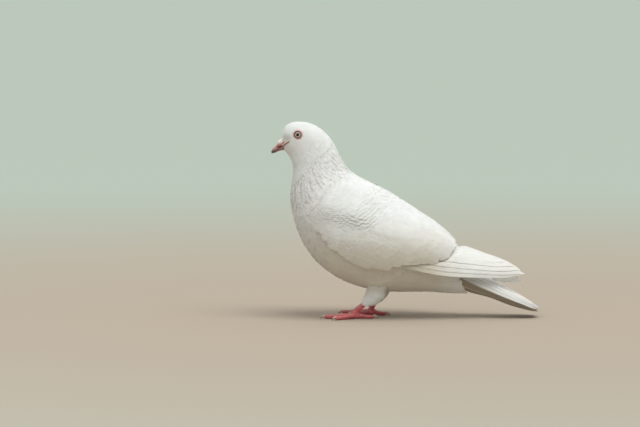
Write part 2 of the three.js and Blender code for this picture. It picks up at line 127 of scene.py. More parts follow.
def through(rows: Array, share: Array) -> Array:
    """Reads a smooth curve through rows at shares of the way along them.

    Args:
        rows: One row of values for each knot.
        share: Places along the rows, from 0 to 1.

    Returns:
        One row of values for each share.
    """
    rows = np.asarray(rows, float)
    place = np.clip(np.asarray(share, float), 0, 1) * (len(rows) - 1)
    i = np.minimum(place.astype(int), len(rows) - 2)
    t = (place - i)[:, None]
    before, here = rows[np.maximum(i - 1, 0)], rows[i]
    there, after = rows[i + 1], rows[np.minimum(i + 2, len(rows) - 1)]
    m, n = (there - before) / 2, (after - here) / 2
    return here + m * t + (3 * (there - here) - 2 * m - n) * t**2 + (2 * (here - there) + m + n) * t**3


def blur(table: Array, steps: float, axis: int, wrap: bool = False) -> Array:
    """Smooths a table along one axis by a bell curve.

    Args:
        table: The table.
        steps: How many steps wide the curve is.
        axis: The axis.
        wrap: Whether the axis runs round, so that its end meets its start.

    Returns:
        The table, smoothed.
    """
    reach = int(3 * steps) + 1
    weights = np.exp(-0.5 * (np.arange(-reach, reach + 1) / steps) ** 2)
    weights /= weights.sum()
    pad = [(0, 0)] * table.ndim
    pad[axis] = (reach, reach)
    padded = np.pad(table, pad, mode="wrap" if wrap else "edge")
    size = table.shape[axis]
    parts = [w * np.take(padded, range(k, k + size), axis) for k, w in enumerate(weights)]
    return np.sum(parts, axis=0)


def soften(table: Array, along: float, around: float, wrap: bool = True) -> Array:
    """Returns a table blurred by so many steps along it, and by so many around or across it."""
    return blur(blur(table, along, 0), around, 1, wrap)


def inside(outline: tuple, x: Array, z: Array) -> Array:
    """Tells which places lie inside a closed outline of X and Z in millimetres."""
    found = np.zeros(len(x), bool)
    for (x1, z1), (x2, z2) in zip(outline, outline[1:] + outline[:1]):
        crossing = (z1 > z / MM) != (z2 > z / MM)
        slope = (x2 - x1) / (z2 - z1) if z1 != z2 else 0.0
        found ^= crossing & (x / MM < slope * (z / MM - z1) + x1)
    return found


# ---- Meshes ----


def deselect_all() -> None:
    """Leaves no object selected, as operators act on all that is selected."""
    if bpy.context.object and bpy.context.object.mode != "OBJECT":
        bpy.ops.object.mode_set(mode="OBJECT")
    bpy.ops.object.select_all(action="DESELECT")


def select_only(piece: Piece) -> None:
    """Selects one object and makes it active."""
    deselect_all()
    piece.select_set(True)
    bpy.context.view_layer.objects.active = piece


def mesh_piece(name: str, points: Array, faces: Array) -> Piece:
    """Makes a mesh object from arrays.

    Args:
        name: The object's name.
        points: One row of X, Y and Z for each vertex, in metres.
        faces: One row of vertex numbers for each face, all faces with equally many corners.

    Returns:
        The new object, linked to the scene.
    """
    mesh = bpy.data.meshes.new(name)
    mesh.vertices.add(len(points))
    mesh.vertices.foreach_set("co", np.ascontiguousarray(points, np.float32).ravel())
    mesh.loops.add(faces.size)
    mesh.loops.foreach_set("vertex_index", np.ascontiguousarray(faces, np.int32).ravel())
    mesh.polygons.add(len(faces))
    mesh.polygons.foreach_set("loop_start", np.arange(len(faces), dtype=np.int32) * faces.shape[1])
    mesh.update(calc_edges=True)
    mesh.validate()
    piece = bpy.data.objects.new(name, mesh)
    bpy.context.scene.collection.objects.link(piece)
    return piece


def positions(piece: Piece) -> Array:
    """Returns a mesh object's vertices as rows."""
    flat = np.zeros(len(piece.data.vertices) * 3, np.float32)
    piece.data.vertices.foreach_get("co", flat)
    return flat.reshape(-1, 3).astype(float)


def vertex_normals(piece: Piece) -> Array:
    """Returns a mesh object's vertex normals as rows."""
    flat = np.zeros(len(piece.data.vertices) * 3, np.float32)
    piece.data.vertex_normals.foreach_get("vector", flat)
    return flat.reshape(-1, 3).astype(float)


def place_points(piece: Piece, points: Array) -> None:
    """Moves a mesh object's vertices to the rows given."""
    piece.data.vertices.foreach_set("co", points.astype(np.float32).ravel())
    piece.data.update()


def triangles(nodes: list[str]) -> tuple[Array, Array]:
    """Reads the solids' triangles.

    Args:
        nodes: Names of the solids.

    Returns:
        The corners as (triangle, corner, XYZ), and for each triangle its solid's number in nodes.
    """
    corners, owners = [], []
    for number, name in enumerate(nodes):
        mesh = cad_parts[name].data
        mesh.calc_loop_triangles()
        index = np.zeros(len(mesh.loop_triangles) * 3, np.int32)
        mesh.loop_triangles.foreach_get("vertices", index)
        corners.append(positions(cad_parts[name])[index].reshape(-1, 3, 3))
        owners.append(np.full(len(corners[-1]), number))
    return np.concatenate(corners), np.concatenate(owners)


def ray_tree(corners: Array) -> BVHTree:
    """Returns a search tree of loose triangles."""
    index = np.arange(len(corners) * 3).reshape(-1, 3)
    return BVHTree.FromPolygons(corners.reshape(-1, 3).tolist(), index.tolist())


def settled(points: Array, tree: BVHTree) -> Array:
    """Draws the tops of the thighs into the belly, so that they leave it without a step.

    Args:
        points: (number, 3) places.
        tree: The search tree of the trunk.

    Returns:
        The places, drawn in.
    """
    points = points.copy()
    share = 0.9 * ease(points[:, 2], THIGH_LOW, THIGH_HIGH)
    for i in np.flatnonzero((points[:, 2] > THIGH_LOW) & (points[:, 2] < THIGH_END)):
        place, normal, _, _ = tree.find_nearest(Vector(points[i]))
        out = float((Vector(points[i]) - place).dot(normal))
        points[i] -= np.array(normal) * max(out, 0) * share[i]
    return points


def apply(piece: Piece, kind: str, **settings: object) -> None:
    """Adds a modifier to a piece and applies it at once."""
    modifier = piece.modifiers.new(kind.lower(), kind)
    for key, value in settings.items():
        setattr(modifier, key, value)
    select_only(piece)
    bpy.ops.object.modifier_apply(modifier=modifier.name)


def edit(piece: Piece, operator: Callable, **settings: object) -> None:
    """Runs an edit mode operator on the whole of a piece."""
    select_only(piece)
    bpy.ops.object.mode_set(mode="EDIT")
    bpy.ops.mesh.select_all(action="SELECT")
    operator(**settings)
    bpy.ops.object.mode_set(mode="OBJECT")


def join(pieces: list[Piece]) -> Piece:
    """Joins pieces into the first of them and returns it."""
    select_only(pieces[0])
    for piece in pieces[1:]:
        piece.select_set(True)
    if len(pieces) > 1:
        bpy.ops.object.join()
    return pieces[0]


def merged_copy(nodes: list[str], name: str) -> Piece:
    """Copies solids into one new object with its shared vertices merged.

    Args:
        nodes: Names of the solids.
        name: The new object's name.

    Returns:
        The new object.
    """
    copies = []
    for node in nodes:
        piece = bpy.data.objects.new(name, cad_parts[node].data.copy())
        piece.data.materials.clear()
        bpy.context.scene.collection.objects.link(piece)
        copies.append(piece)
    merged = join(copies)
    edit(merged, bpy.ops.mesh.remove_doubles, threshold=0.02 * MM)
    return merged


def refined(nodes: list[str], name: str, voxel: float, rounds: int, rear: float = 0) -> Piece:
    """Makes a fine, smooth version of solids.

    Args:
        nodes: Names of the solids.
        name: The new object's name.
        voxel: Size of the new faces, in metres.
        rounds: How many times the faces are smoothed.
        rear: Where along X what lies behind is cut off first, or 0 for no cut.

    Returns:
        The new object.
    """
    piece = merged_copy(nodes, name)
    if rear:
        plane = {"plane_co": (rear, 0, 0), "plane_no": (1, 0, 0)}
        edit(piece, bpy.ops.mesh.bisect, **plane, use_fill=True, clear_outer=True)
    apply(piece, "REMESH", mode="VOXEL", voxel_size=voxel)
    apply(piece, "SMOOTH", factor=0.5, iterations=rounds)
    smooth_shade(piece)
    return piece


def smooth_shade(piece: Piece, sharpest: float = 180) -> None:
    """Shades a piece smooth, but for edges that turn by more than an angle in degrees."""
    select_only(piece)
    if sharpest < 180:
        bpy.ops.object.shade_smooth_by_angle(angle=math.radians(sharpest))
    else:
        bpy.ops.object.shade_smooth()


def set_value(piece: Piece, name: str, values: Array) -> None:
    """Stores one number for each vertex as an attribute."""
    layer = piece.data.attributes.new(name, "FLOAT", "POINT")
    layer.data.foreach_set("value", values.astype(np.float32).ravel())


def set_map(piece: Piece, name: str, places: Array) -> None:
    """Stores a UV map given by one place for each vertex."""
    index = np.zeros(len(piece.data.loops), np.int32)
    piece.data.loops.foreach_get("vertex_index", index)
    layer = piece.data.uv_layers.new(name=name, do_init=False)
    layer.data.foreach_set("uv", places[index].astype(np.float32).ravel())


def finish_piece(
    piece: Piece, material: Material, replaced: Sequence[str] = ()
) -> None:
    """Dresses a piece, hangs it under the bird's body empty, and hides the solids that it stands for.

    Args:
        piece: The piece.
        material: Its material.
        replaced: The solids that it stands for.
    """
    piece.data.materials.clear()
    piece.data.materials.append(material)
    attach(piece, BODY)
    if replaced:
        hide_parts(*replaced)
    piece.data.calc_loop_triangles()
    log.info("%s: %d triangles", piece.name, len(piece.data.loop_triangles))


# ---- Shader trees ----


class Tree:
    """A node tree with short calls for adding and joining nodes."""

    def __init__(self, tree: NodeTree) -> None:
        """Starts from an empty tree."""
        self.tree = tree
        tree.nodes.clear()

    def add(self, kind: str, inputs: dict | None = None, **settings: object) -> bpy.types.Node:
        """Adds a node.

        Args:
            kind: The node's type, without its ShaderNode prefix.
            inputs: What goes into its sockets, each a value or another node's output.
            settings: The node's own properties.

        Returns:
            The new node.
        """
        node = self.tree.nodes.new("ShaderNode" + kind if not kind.startswith("Node") else kind)
        for key, value in settings.items():
            setattr(node, key, value)
        for key, value in (inputs or {}).items():
            if isinstance(value, Socket):
                self.tree.links.new(value, node.inputs[key])
            else:
                node.inputs[key].default_value = value
        return node

    def mix(self, factor: object, a: object, b: object) -> Socket:
        """Returns colour a turned into colour b by a factor."""
        inputs = {0: factor, 6: a, 7: b}
        return self.add("Mix", inputs, data_type="RGBA").outputs[2]

    def math(self, operation: str, *values: object) -> Socket:
        """Returns the result of an operation on numbers."""
        return self.add("Math", dict(enumerate(values)), operation=operation).outputs[0]

    def times(self, a: object, b: object) -> Socket:
        """Returns the product of two numbers."""
        return self.math("MULTIPLY", a, b)

    def plus(self, a: object, b: object) -> Socket:
        """Returns the sum of two numbers."""
        return self.math("ADD", a, b)

    def fade(self, value: object, start: float, end: float) -> Socket:
        """Returns a number that goes smoothly from 0 at start to 1 at end."""
        inputs = {0: value, 1: start, 2: end}
        return self.add("MapRange", inputs, interpolation_type="SMOOTHSTEP").outputs[0]

    def tint(self, color: object, mask: object, strength: float, tone: tuple) -> Socket:
        """Returns a colour turned into a tone at a strength, where a mask is 1."""
        return self.mix(self.times(mask, strength), color, tone)

    def value(self, name: str) -> Socket:
        """Returns a piece's own attribute."""
        return self.add("Attribute", attribute_name=name).outputs["Fac"]

    def height(self, where: object) -> Socket:
        """Returns how high a place is."""
        return self.add("SeparateXYZ", {0: where}).outputs[2]

    def noise(self, where: object, scale: float, detail: float = 3) -> Socket:
        """Returns soft noise at a place."""
        inputs = {"Vector": where, "Scale": scale, "Detail": detail}
        return self.add("TexNoise", inputs).outputs[0]

    def here(self) -> Socket:
        """Returns the place in the bird's own frame."""
        return self.add("TexCoord").outputs["Object"]

    def mirrored(self) -> Socket:
        """Returns the place with its Y made positive, so that both sides are alike."""
        apart = self.add("SeparateXYZ", {0: self.here()})
        aside = self.math("ABSOLUTE", apart.outputs[1])
        return self.add("CombineXYZ", {0: apart.outputs[0], 1: aside, 2: apart.outputs[2]}).outputs[0]

    def distance(self, where: object, point: Array) -> Socket:
        """Returns how far a place is from a point."""
        inputs = {0: where, 1: tuple(point)}
        return self.add("VectorMath", inputs, operation="DISTANCE").outputs["Value"]


def rgba(red: float, green: float, blue: float) -> tuple[float, float, float, float]:
    """Returns an opaque colour."""
    return (red, green, blue, 1.0)


def group_tree(name: str, takes: dict[str, float], gives: dict[str, str]) -> tuple[Tree, bpy.types.Node]:
    """Starts a shared node group.

    Args:
        name: The group's name.
        takes: Names of its number inputs, with their defaults.
        gives: Names of its outputs, with their socket types.

    Returns:
        The tree, with its outputs declared but no output node yet, and its input node.
    """
    group = bpy.data.node_groups.new(name, "ShaderNodeTree")
    for label, value in takes.items():
        socket = group.interface.new_socket(label, in_out="INPUT", socket_type="NodeSocketFloat")
        socket.default_value = value
    for label, kind in gives.items():
        group.interface.new_socket(label, in_out="OUTPUT", socket_type=kind)
    tree = Tree(group)
    source = tree.add("NodeGroupInput")
    return tree, source


@dataclass(frozen=True)
class Landmarks:
    """Places on the head that the markings are set out from, all on the right side."""

    eye: Array
    mouth: Array
    lore: Array
    neck: Array


def markings_group(marks: Landmarks) -> NodeTree:
    """Makes the markings, and the painted shade under the body and on the breast, that the skin and every
    feather share.

    Args:
        marks: The places that they are set out from.

    Returns:
        A group that gives the plumage colour, with its painted shade, at a place in the bird's frame.
    """
    tree, _ = group_tree("bird_markings", {}, {"Color": "NodeSocketColor"})
    where = tree.mirrored()
    mottle = tree.fade(tree.noise(where, 90), 0.35, 0.7)
    color = tree.mix(mottle, rgba(0.83, 0.825, 0.80), rgba(0.88, 0.875, 0.855))
    apart = tree.add("SeparateXYZ", {0: where})
    height = tree.plus(apart.outputs[2], tree.times(tree.noise(where, 60, 2), 14 * MM))
    # Painted shade, with some staining: the lower breast, belly and flanks are tinted warm beige-brown for
    # the shade and warm floor bounce under the body.
    low = tree.fade(height, 118 * MM, 62 * MM)
    low = tree.times(low, tree.fade(apart.outputs[0], 60 * MM, 22 * MM))
    low = tree.times(low, tree.fade(apart.outputs[2], 20 * MM, 31 * MM))
    color = tree.tint(color, low, 0.75, rgba(0.70, 0.625, 0.51))
    # Painted shade: the breast ahead of the wings, which faces away from the key light, is tinted a darker
    # warm grey.
    front = tree.fade(apart.outputs[0], -74 * MM, -93 * MM)
    front = tree.times(front, tree.fade(height, 158 * MM, 120 * MM))
    color = tree.tint(color, front, 0.4, rgba(0.66, 0.60, 0.565))
    neck = tree.fade(tree.distance(where, marks.neck), 52 * MM, 14 * MM)
    flecks = tree.fade(tree.noise(where, 240, 2), 0.4, 0.62)
    color = tree.tint(color, tree.times(neck, flecks), 0.32, rgba(0.66, 0.60, 0.585))
    lore = tree.fade(tree.distance(where, marks.lore), 7.5 * MM, 1.0 * MM)
    color = tree.tint(color, lore, 0.7, rgba(0.50, 0.44, 0.37))
    for point, outer, inner, strength in (
        (marks.eye, 6.6 * MM, 4.9 * MM, 0.6),
        (marks.mouth, 5.4 * MM, 1.6 * MM, 0.5),
    ):
        near = tree.fade(tree.distance(where, point), outer, inner)
        color = tree.tint(color, near, strength, rgba(0.80, 0.50, 0.46))
    tree.add("NodeGroupOutput", {0: color})
    return tree.tree


def barbs_group() -> NodeTree:
    """Makes the fine barbs of a vane, read from its own map of metres across and along.

    Returns:
        A group that gives a height and a mask of the shaft.
    """
    gives = {"Height": "NodeSocketFloat", "Shaft": "NodeSocketFloat"}
    tree, source = group_tree("vane_barbs", {"Pitch": 0.5 * MM, "Shaft Width": 0.3 * MM}, gives)
    apart = tree.add("SeparateXYZ", {0: tree.add("UVMap", uv_map="vane").outputs[0]})
    across = tree.math("ABSOLUTE", apart.outputs[0])
    lean = tree.math("SUBTRACT", apart.outputs[1], tree.times(across, 1.3))
    turns = tree.times(tree.math("DIVIDE", lean, source.outputs[0]), 2 * math.pi)
    waves = tree.math("SINE", turns)
    broken = tree.noise(tree.here(), 420, 2)
    height = tree.plus(tree.times(waves, 0.5), tree.times(broken, 1.4))
    shaft = tree.math("DIVIDE", across, source.outputs[1])
    tree.add("NodeGroupOutput", {0: height, 1: tree.fade(shaft, 1, 0.4)})
    return tree.tree


class Surface(Tree):
    """The node tree of one material, around its Principled shader."""

    def __init__(self, name: str, constants: dict[str, float]) -> None:
        """Makes the material, with constants on the shader's own sockets."""
        self.material = bpy.data.materials.new(name)
        self.material.use_nodes = True
        super().__init__(self.material.node_tree)
        self.shader = self.add("BsdfPrincipled", constants)
        self.add("OutputMaterial", {0: self.shader.outputs[0]})

    def finished(self, color: object, height: object = None, depth: float = 0.0) -> Material:
        """Puts on a colour and a bump of a depth in metres, and returns the material."""
        self.tree.links.new(color, self.shader.inputs["Base Color"])
        if height is not None:
            bump = self.add("Bump", {"Height": height, "Distance": depth, "Strength": 0.8})
            self.tree.links.new(bump.outputs[0], self.shader.inputs["Normal"])
        return self.material


@dataclass(frozen=True)
class Finish:
    """What every finish is made of: a name, and the constants of its shader."""

    name: str
    roughness: float = 0.6
    sheen: float = 0.0
    coat: float = 0.0
    coat_roughness: float = 0.05
    specular: float = 0.5
    subsurface: float = 0.0

    def surface(self) -> Surface:
        """Starts the material and returns its surface."""
        constants = {
            "Roughness": self.roughness,
            "Sheen Weight": self.sheen,
            "Sheen Roughness": 0.5,
            "Coat Weight": self.coat,
            "Coat Roughness": self.coat_roughness,
            "Specular IOR Level": self.specular,
            "Subsurface Weight": self.subsurface,
            "Subsurface Scale": 2 * MM,
        }
        return Surface(self.name, constants)


@dataclass(frozen=True)
class FeatherFinish(Finish):
    """White vanes: the markings and their painted shade, a slight tone of each feather's own, painted shade
    along the vane edges, painted shade and a buff tone on the quills, barbs and a pale shaft.
    """

    pitch: float = 0.36 * MM
    shaft: float = 0.2 * MM
    # The strength of the painted shade along each vane's edges and tip, for the shadowed gaps between
    # feathers.
    rim: float = 0.05
    # How strongly quills turn dark buff: painted shade along their lower edges and under the tail, and a
    # faint buff tone.
    cream: float = 0.0
    barb_depth: float = 0.03 * MM

    def build(self, markings: NodeTree, barbs: NodeTree) -> Material:
        """Makes the material.

        Args:
            markings: The group of the bird's markings and painted shade.
            barbs: The group of a vane's barbs.

        Returns:
            The material.
        """
        tree = self.surface()
        color = tree.add("Group", node_tree=markings).outputs[0]
        vane = tree.add("Group", {"Pitch": self.pitch, "Shaft Width": self.shaft}, node_tree=barbs)
        color = tree.tint(color, tree.value("tone"), 0.06, rgba(0.69, 0.67, 0.63))
        # Painted shade: vane edges, most towards the tip, darken to grey-brown for the shadowed gaps between
        # feathers.
        rim = tree.fade(tree.value("rim"), 0.35, 1.0)
        color = tree.tint(color, rim, self.rim, rgba(0.52, 0.455, 0.41))
        if self.cream:
            # Painted shade and buff tone: quills darken to warm brown as painted shadow along lower edges and
            # painted shade under the tail, and turn faintly buff elsewhere.
            color = tree.tint(color, tree.value("buff"), self.cream, rgba(0.29, 0.24, 0.175))
            color = tree.tint(color, vane.outputs["Shaft"], 0.4, rgba(0.80, 0.74, 0.62))
        return tree.finished(color, vane.outputs["Height"], self.barb_depth)


@dataclass(frozen=True)
class SkinFinish(Finish):
    """The skin: the bird's markings and painted shade under the feathers, and red scutes on the bare feet."""

    def build(self, markings: NodeTree) -> Material:
        """Makes the material.

        Args:
            markings: The group of the bird's markings and painted shade.

        Returns:
            The material.
        """
        tree = self.surface()
        white = tree.add("Group", node_tree=markings).outputs[0]
        bare = tree.value("bare")
        where = tree.here()
        blotch = tree.fade(tree.noise(where, 260, 3), 0.3, 0.7)
        red = tree.mix(blotch, rgba(0.50, 0.070, 0.085), rgba(0.66, 0.135, 0.145))
        cells = tree.add("TexVoronoi", {"Vector": where, "Scale": 1500.0}, feature="DISTANCE_TO_EDGE")
        grain = tree.fade(cells.outputs[0], 0.0, 0.16)
        red = tree.tint(red, tree.math("SUBTRACT", 1, grain), 0.3, rgba(0.70, 0.30, 0.29))
        pale = tree.mix(tree.value("plate"), rgba(0.80, 0.47, 0.44), red)
        relief = tree.times(grain, bare)
        return tree.finished(tree.mix(bare, white, pale), relief, 0.12 * MM)


@dataclass(frozen=True)
class BillFinish(Finish):
    """Pink horn that turns slate grey towards the tip, with a fine grain along it."""

    def build(self, tip: Array, length: float) -> Material:
        """Makes the material.

        Args:
            tip: The point of the bill.
            length: How far back from it the bill reaches, in metres.

        Returns:
            The material.
        """
        tree = self.surface()
        where = tree.here()
        cloud = tree.times(tree.noise(where, 500, 2), 1.4 * MM)
        back = tree.plus(tree.distance(where, tip), cloud)
        pink, deep = rgba(0.70, 0.38, 0.36), rgba(0.50, 0.25, 0.245)
        color = tree.mix(tree.fade(back, 0.75 * length, 0.3 * length), pink, deep)
        color = tree.mix(tree.fade(back, 0.4 * length, 0.12 * length), color, rgba(0.15, 0.11, 0.105))
        # Painted shade: the lower half is darkened, as it lies in the shade of the upper half.
        color = tree.tint(color, tree.value("low"), 0.6, rgba(0.12, 0.095, 0.092))
        color = tree.tint(color, tree.value("edge"), 0.85, rgba(0.075, 0.02, 0.022))
        color = tree.mix(tree.value("slit"), color, rgba(0.17, 0.018, 0.022))
        stretched = tree.add("Mapping", {"Vector": where, "Scale": (250, 1600, 1600)})
        return tree.finished(color, tree.noise(stretched.outputs[0], 1, 3), 0.06 * MM)


@dataclass(frozen=True)
class CereFinish(Finish):
    """Chalky white flesh with a pink foot and fine wrinkles."""

    def build(self, low: float, high: float) -> Material:
        """Makes the material, pink at one height and white at another, and returns it."""
        tree = self.surface()
        where = tree.here()
        cloud = tree.times(tree.noise(where, 700, 3), 1.2 * MM)
        rise = tree.plus(tree.height(where), cloud)
        color = tree.mix(tree.fade(rise, low, high), rgba(0.78, 0.42, 0.38), rgba(0.86, 0.80, 0.76))
        cells = tree.add("TexVoronoi", {"Vector": where, "Scale": 1300.0}, feature="SMOOTH_F1")
        wrinkle = tree.plus(cells.outputs[0], tree.noise(where, 2600, 2))
        return tree.finished(color, wrinkle, 0.16 * MM)


@dataclass(frozen=True)
class LipFinish(Finish):
    """The pink lips behind the bill, with a dark red line where they meet."""

    def build(self) -> Material:
        """Makes the material and returns it."""
        tree = self.surface()
        where = tree.here()
        blotch = tree.fade(tree.noise(where, 600, 3), 0.3, 0.7)
        pink = tree.mix(blotch, rgba(0.74, 0.47, 0.43), rgba(0.83, 0.66, 0.61))
        color = tree.mix(tree.fade(tree.value("seam"), 0.08, 0.5), pink, rgba(0.15, 0.016, 0.02))
        return tree.finished(color, tree.noise(where, 1800, 3), 0.1 * MM)


@dataclass(frozen=True)
class LidFinish(Finish):
    """The fleshy ring of the eyelids: dark red, beaded, paler at its outer rim."""

    def build(self, eye: Array, inner: float, outer: float) -> Material:
        """Makes the material.

        Args:
            eye: The middle of the iris on the right side.
            inner: Radius of the opening.
            outer: Radius of the ring.

        Returns:
            The material.
        """
        tree = self.surface()
        where = tree.mirrored()
        away = tree.distance(where, eye)
        dark, red = rgba(0.10, 0.036, 0.040), rgba(0.34, 0.155, 0.155)
        color = tree.mix(tree.fade(away, inner, outer), dark, red)
        # Painted shade: the upper part of the ring is darker, in the shade of the brow above it.
        above = tree.fade(tree.height(where), float(eye[2]) - 2.5 * MM, float(eye[2]) + 3.5 * MM)
        color = tree.tint(color, above, 0.5, rgba(0.13, 0.045, 0.062))
        rim = tree.fade(away, outer - 0.7 * MM, outer + 0.5 * MM)
        color = tree.mix(rim, color, rgba(0.80, 0.62, 0.59))
        beads = tree.add("TexVoronoi", {"Vector": where, "Scale": 1700.0}, feature="SMOOTH_F1")
        gaps = tree.fade(beads.outputs[0], 0.2, 0.6)
        color = tree.tint(color, gaps, 0.35, rgba(0.14, 0.035, 0.035))
        return tree.finished(color, tree.math("SUBTRACT", 1, beads.outputs[0]), 0.14 * MM)


@dataclass(frozen=True)
class EyeFinish(Finish):
    """A wet eye: black pupil, pearl iris with fine spokes, and a dark rim under the lids."""

    def build(self, centre: Array, axis: Array, pupil: float, iris: float) -> Material:
        """Makes the material.

        Args:
            centre: The middle of the right eyeball.
            axis: The way the right eye looks.
            pupil: Radius of the pupil.
            iris: Radius of the iris.

        Returns:
            The material.
        """
        tree = self.surface()
        where = tree.mirrored()
        reach = tree.add("VectorMath", {0: where, 1: tuple(centre)}, operation="SUBTRACT").outputs[0]
        turned = tree.add("VectorMath", {0: reach, 1: tuple(axis)}, operation="CROSS_PRODUCT").outputs[0]
        ring = tree.add("VectorMath", {0: turned}, operation="LENGTH").outputs["Value"]
        spokes = tree.noise(tree.add("VectorMath", {0: turned}, operation="NORMALIZE").outputs[0], 9, 4)
        pearl = tree.mix(tree.fade(spokes, 0.3, 0.7), rgba(0.42, 0.36, 0.27), rgba(0.78, 0.72, 0.60))
        color = tree.tint(pearl, tree.fade(ring, 0.86 * iris, iris), 0.6, rgba(0.30, 0.13, 0.10))
        color = tree.mix(tree.fade(ring, 1.08 * pupil, 0.96 * pupil), color, rgba(0.004, 0.003, 0.003))
        color = tree.mix(tree.fade(ring, iris, 1.05 * iris), color, rgba(0.05, 0.02, 0.02))
        return tree.finished(color)


@dataclass(frozen=True)
class ClawFinish(Finish):
    """Translucent-looking horn, paler along the claw's back, with fine lines along it."""

    def build(self) -> Material:
        """Makes the material and returns it."""
        tree = self.surface()
        where = tree.here()
        dark, pale = rgba(0.24, 0.17, 0.125), rgba(0.60, 0.44, 0.36)
        color = tree.mix(tree.fade(tree.height(where), 0.6 * MM, 3.6 * MM), dark, pale)
        stretched = tree.add("Mapping", {"Vector": where, "Scale": (300, 900, 900)})
        streak = tree.noise(stretched.outputs[0], 1, 3)
        color = tree.tint(color, tree.fade(streak, 0.45, 0.65), 0.35, rgba(0.30, 0.22, 0.17))
        return tree.finished(color, streak, 0.05 * MM)


@dataclass(frozen=True)
class FloorFinish(Finish):
    """A plain pale floor."""

    def build(self) -> Material:
        """Makes the material and returns it."""
        tree = self.surface()
        away = tree.distance(tree.here(), np.zeros(3))
        color = tree.mix(tree.fade(away, 0.15, 2.2), rgba(0.42, 0.36, 0.29), rgba(0.40, 0.47, 0.405))
        return tree.finished(color)


# ---- Forms that feathers lie on ----


class Form:
    """A smooth surface, given as a grid of points along it and around or across it."""

    def __init__(self, points: Array, closed: bool, outward: Array) -> None:
        """Works out the surface's slopes.

        Args:
            points: The grid, as (along, around, XYZ).
            closed: Whether the last column meets the first.
            outward: For each point, a direction that is roughly outwards.
        """
        self.points = points
        self.closed = closed
        rows, columns = points.shape[:2]
        self.along = np.gradient(points, axis=0) * (rows - 1)
        if closed:
            self.around = (np.roll(points, -1, 1) - np.roll(points, 1, 1)) * columns / 2
        else:
            self.around = np.gradient(points, axis=1) * (columns - 1)
        normals = np.cross(self.along, self.around)
        self.normals = unit(normals * np.sign(dot(normals, outward))[..., None])

    def read(self, table: Array, s: Array, t: Array) -> Array:
        """Reads a table over the surface.

        Args:
            table: One row of values for each point of the surface.
            s: Shares along, which may run on past the ends.
            t: Shares around or across.

        Returns:
            One row of values for each place.
        """
        rows, columns = table.shape[:2]
        x = s * (rows - 1)
        i = np.clip(np.floor(x).astype(int), 0, rows - 2)
        a = (x - i)[..., None]
        if self.closed:
            y = (t % 1.0) * columns
            j = np.floor(y).astype(int) % columns
            after = (j + 1) % columns
            b = (y - np.floor(y))[..., None]
        else:
            y = t * (columns - 1)
            j = np.clip(np.floor(y).astype(int), 0, columns - 2)
            after = j + 1
            b = (y - j)[..., None]
        near = table[i, j] * (1 - b) + table[i, after] * b
        far = table[i + 1, j] * (1 - b) + table[i + 1, after] * b
        return near * (1 - a) + far * a

    def level(self, table: Array, s: Array, t: Array) -> Array:
        """Reads a table of single numbers at shares along and around."""
        return self.read(table[..., None], s, t)[:, 0]

    def at(self, s: Array, t: Array) -> Array:
        """Returns the points at shares along and around."""
        return self.read(self.points, s, t)

    def normal(self, s: Array, t: Array) -> Array:
        """Returns the outward normals at shares along and around."""
        return unit(self.read(self.normals, s, t))

    def move(self, s: Array, t: Array, offset: Array) -> tuple[Array, Array]:
        """Moves along the surface.

        Args:
            s: Shares along, where the moves start.
            t: Shares around.
            offset: The moves, in metres.

        Returns:
            The shares along and around where they end.
        """
        a, b = self.read(self.along, s, t), self.read(self.around, s, t)
        aa, ab, bb = dot(a, a), dot(a, b), dot(b, b)
        ao, bo = dot(a, offset), dot(b, offset)
        size = np.maximum(aa * bb - ab * ab, 1e-16)
        return s + (bb * ao - ab * bo) / size, t + (aa * bo - ab * ao) / size


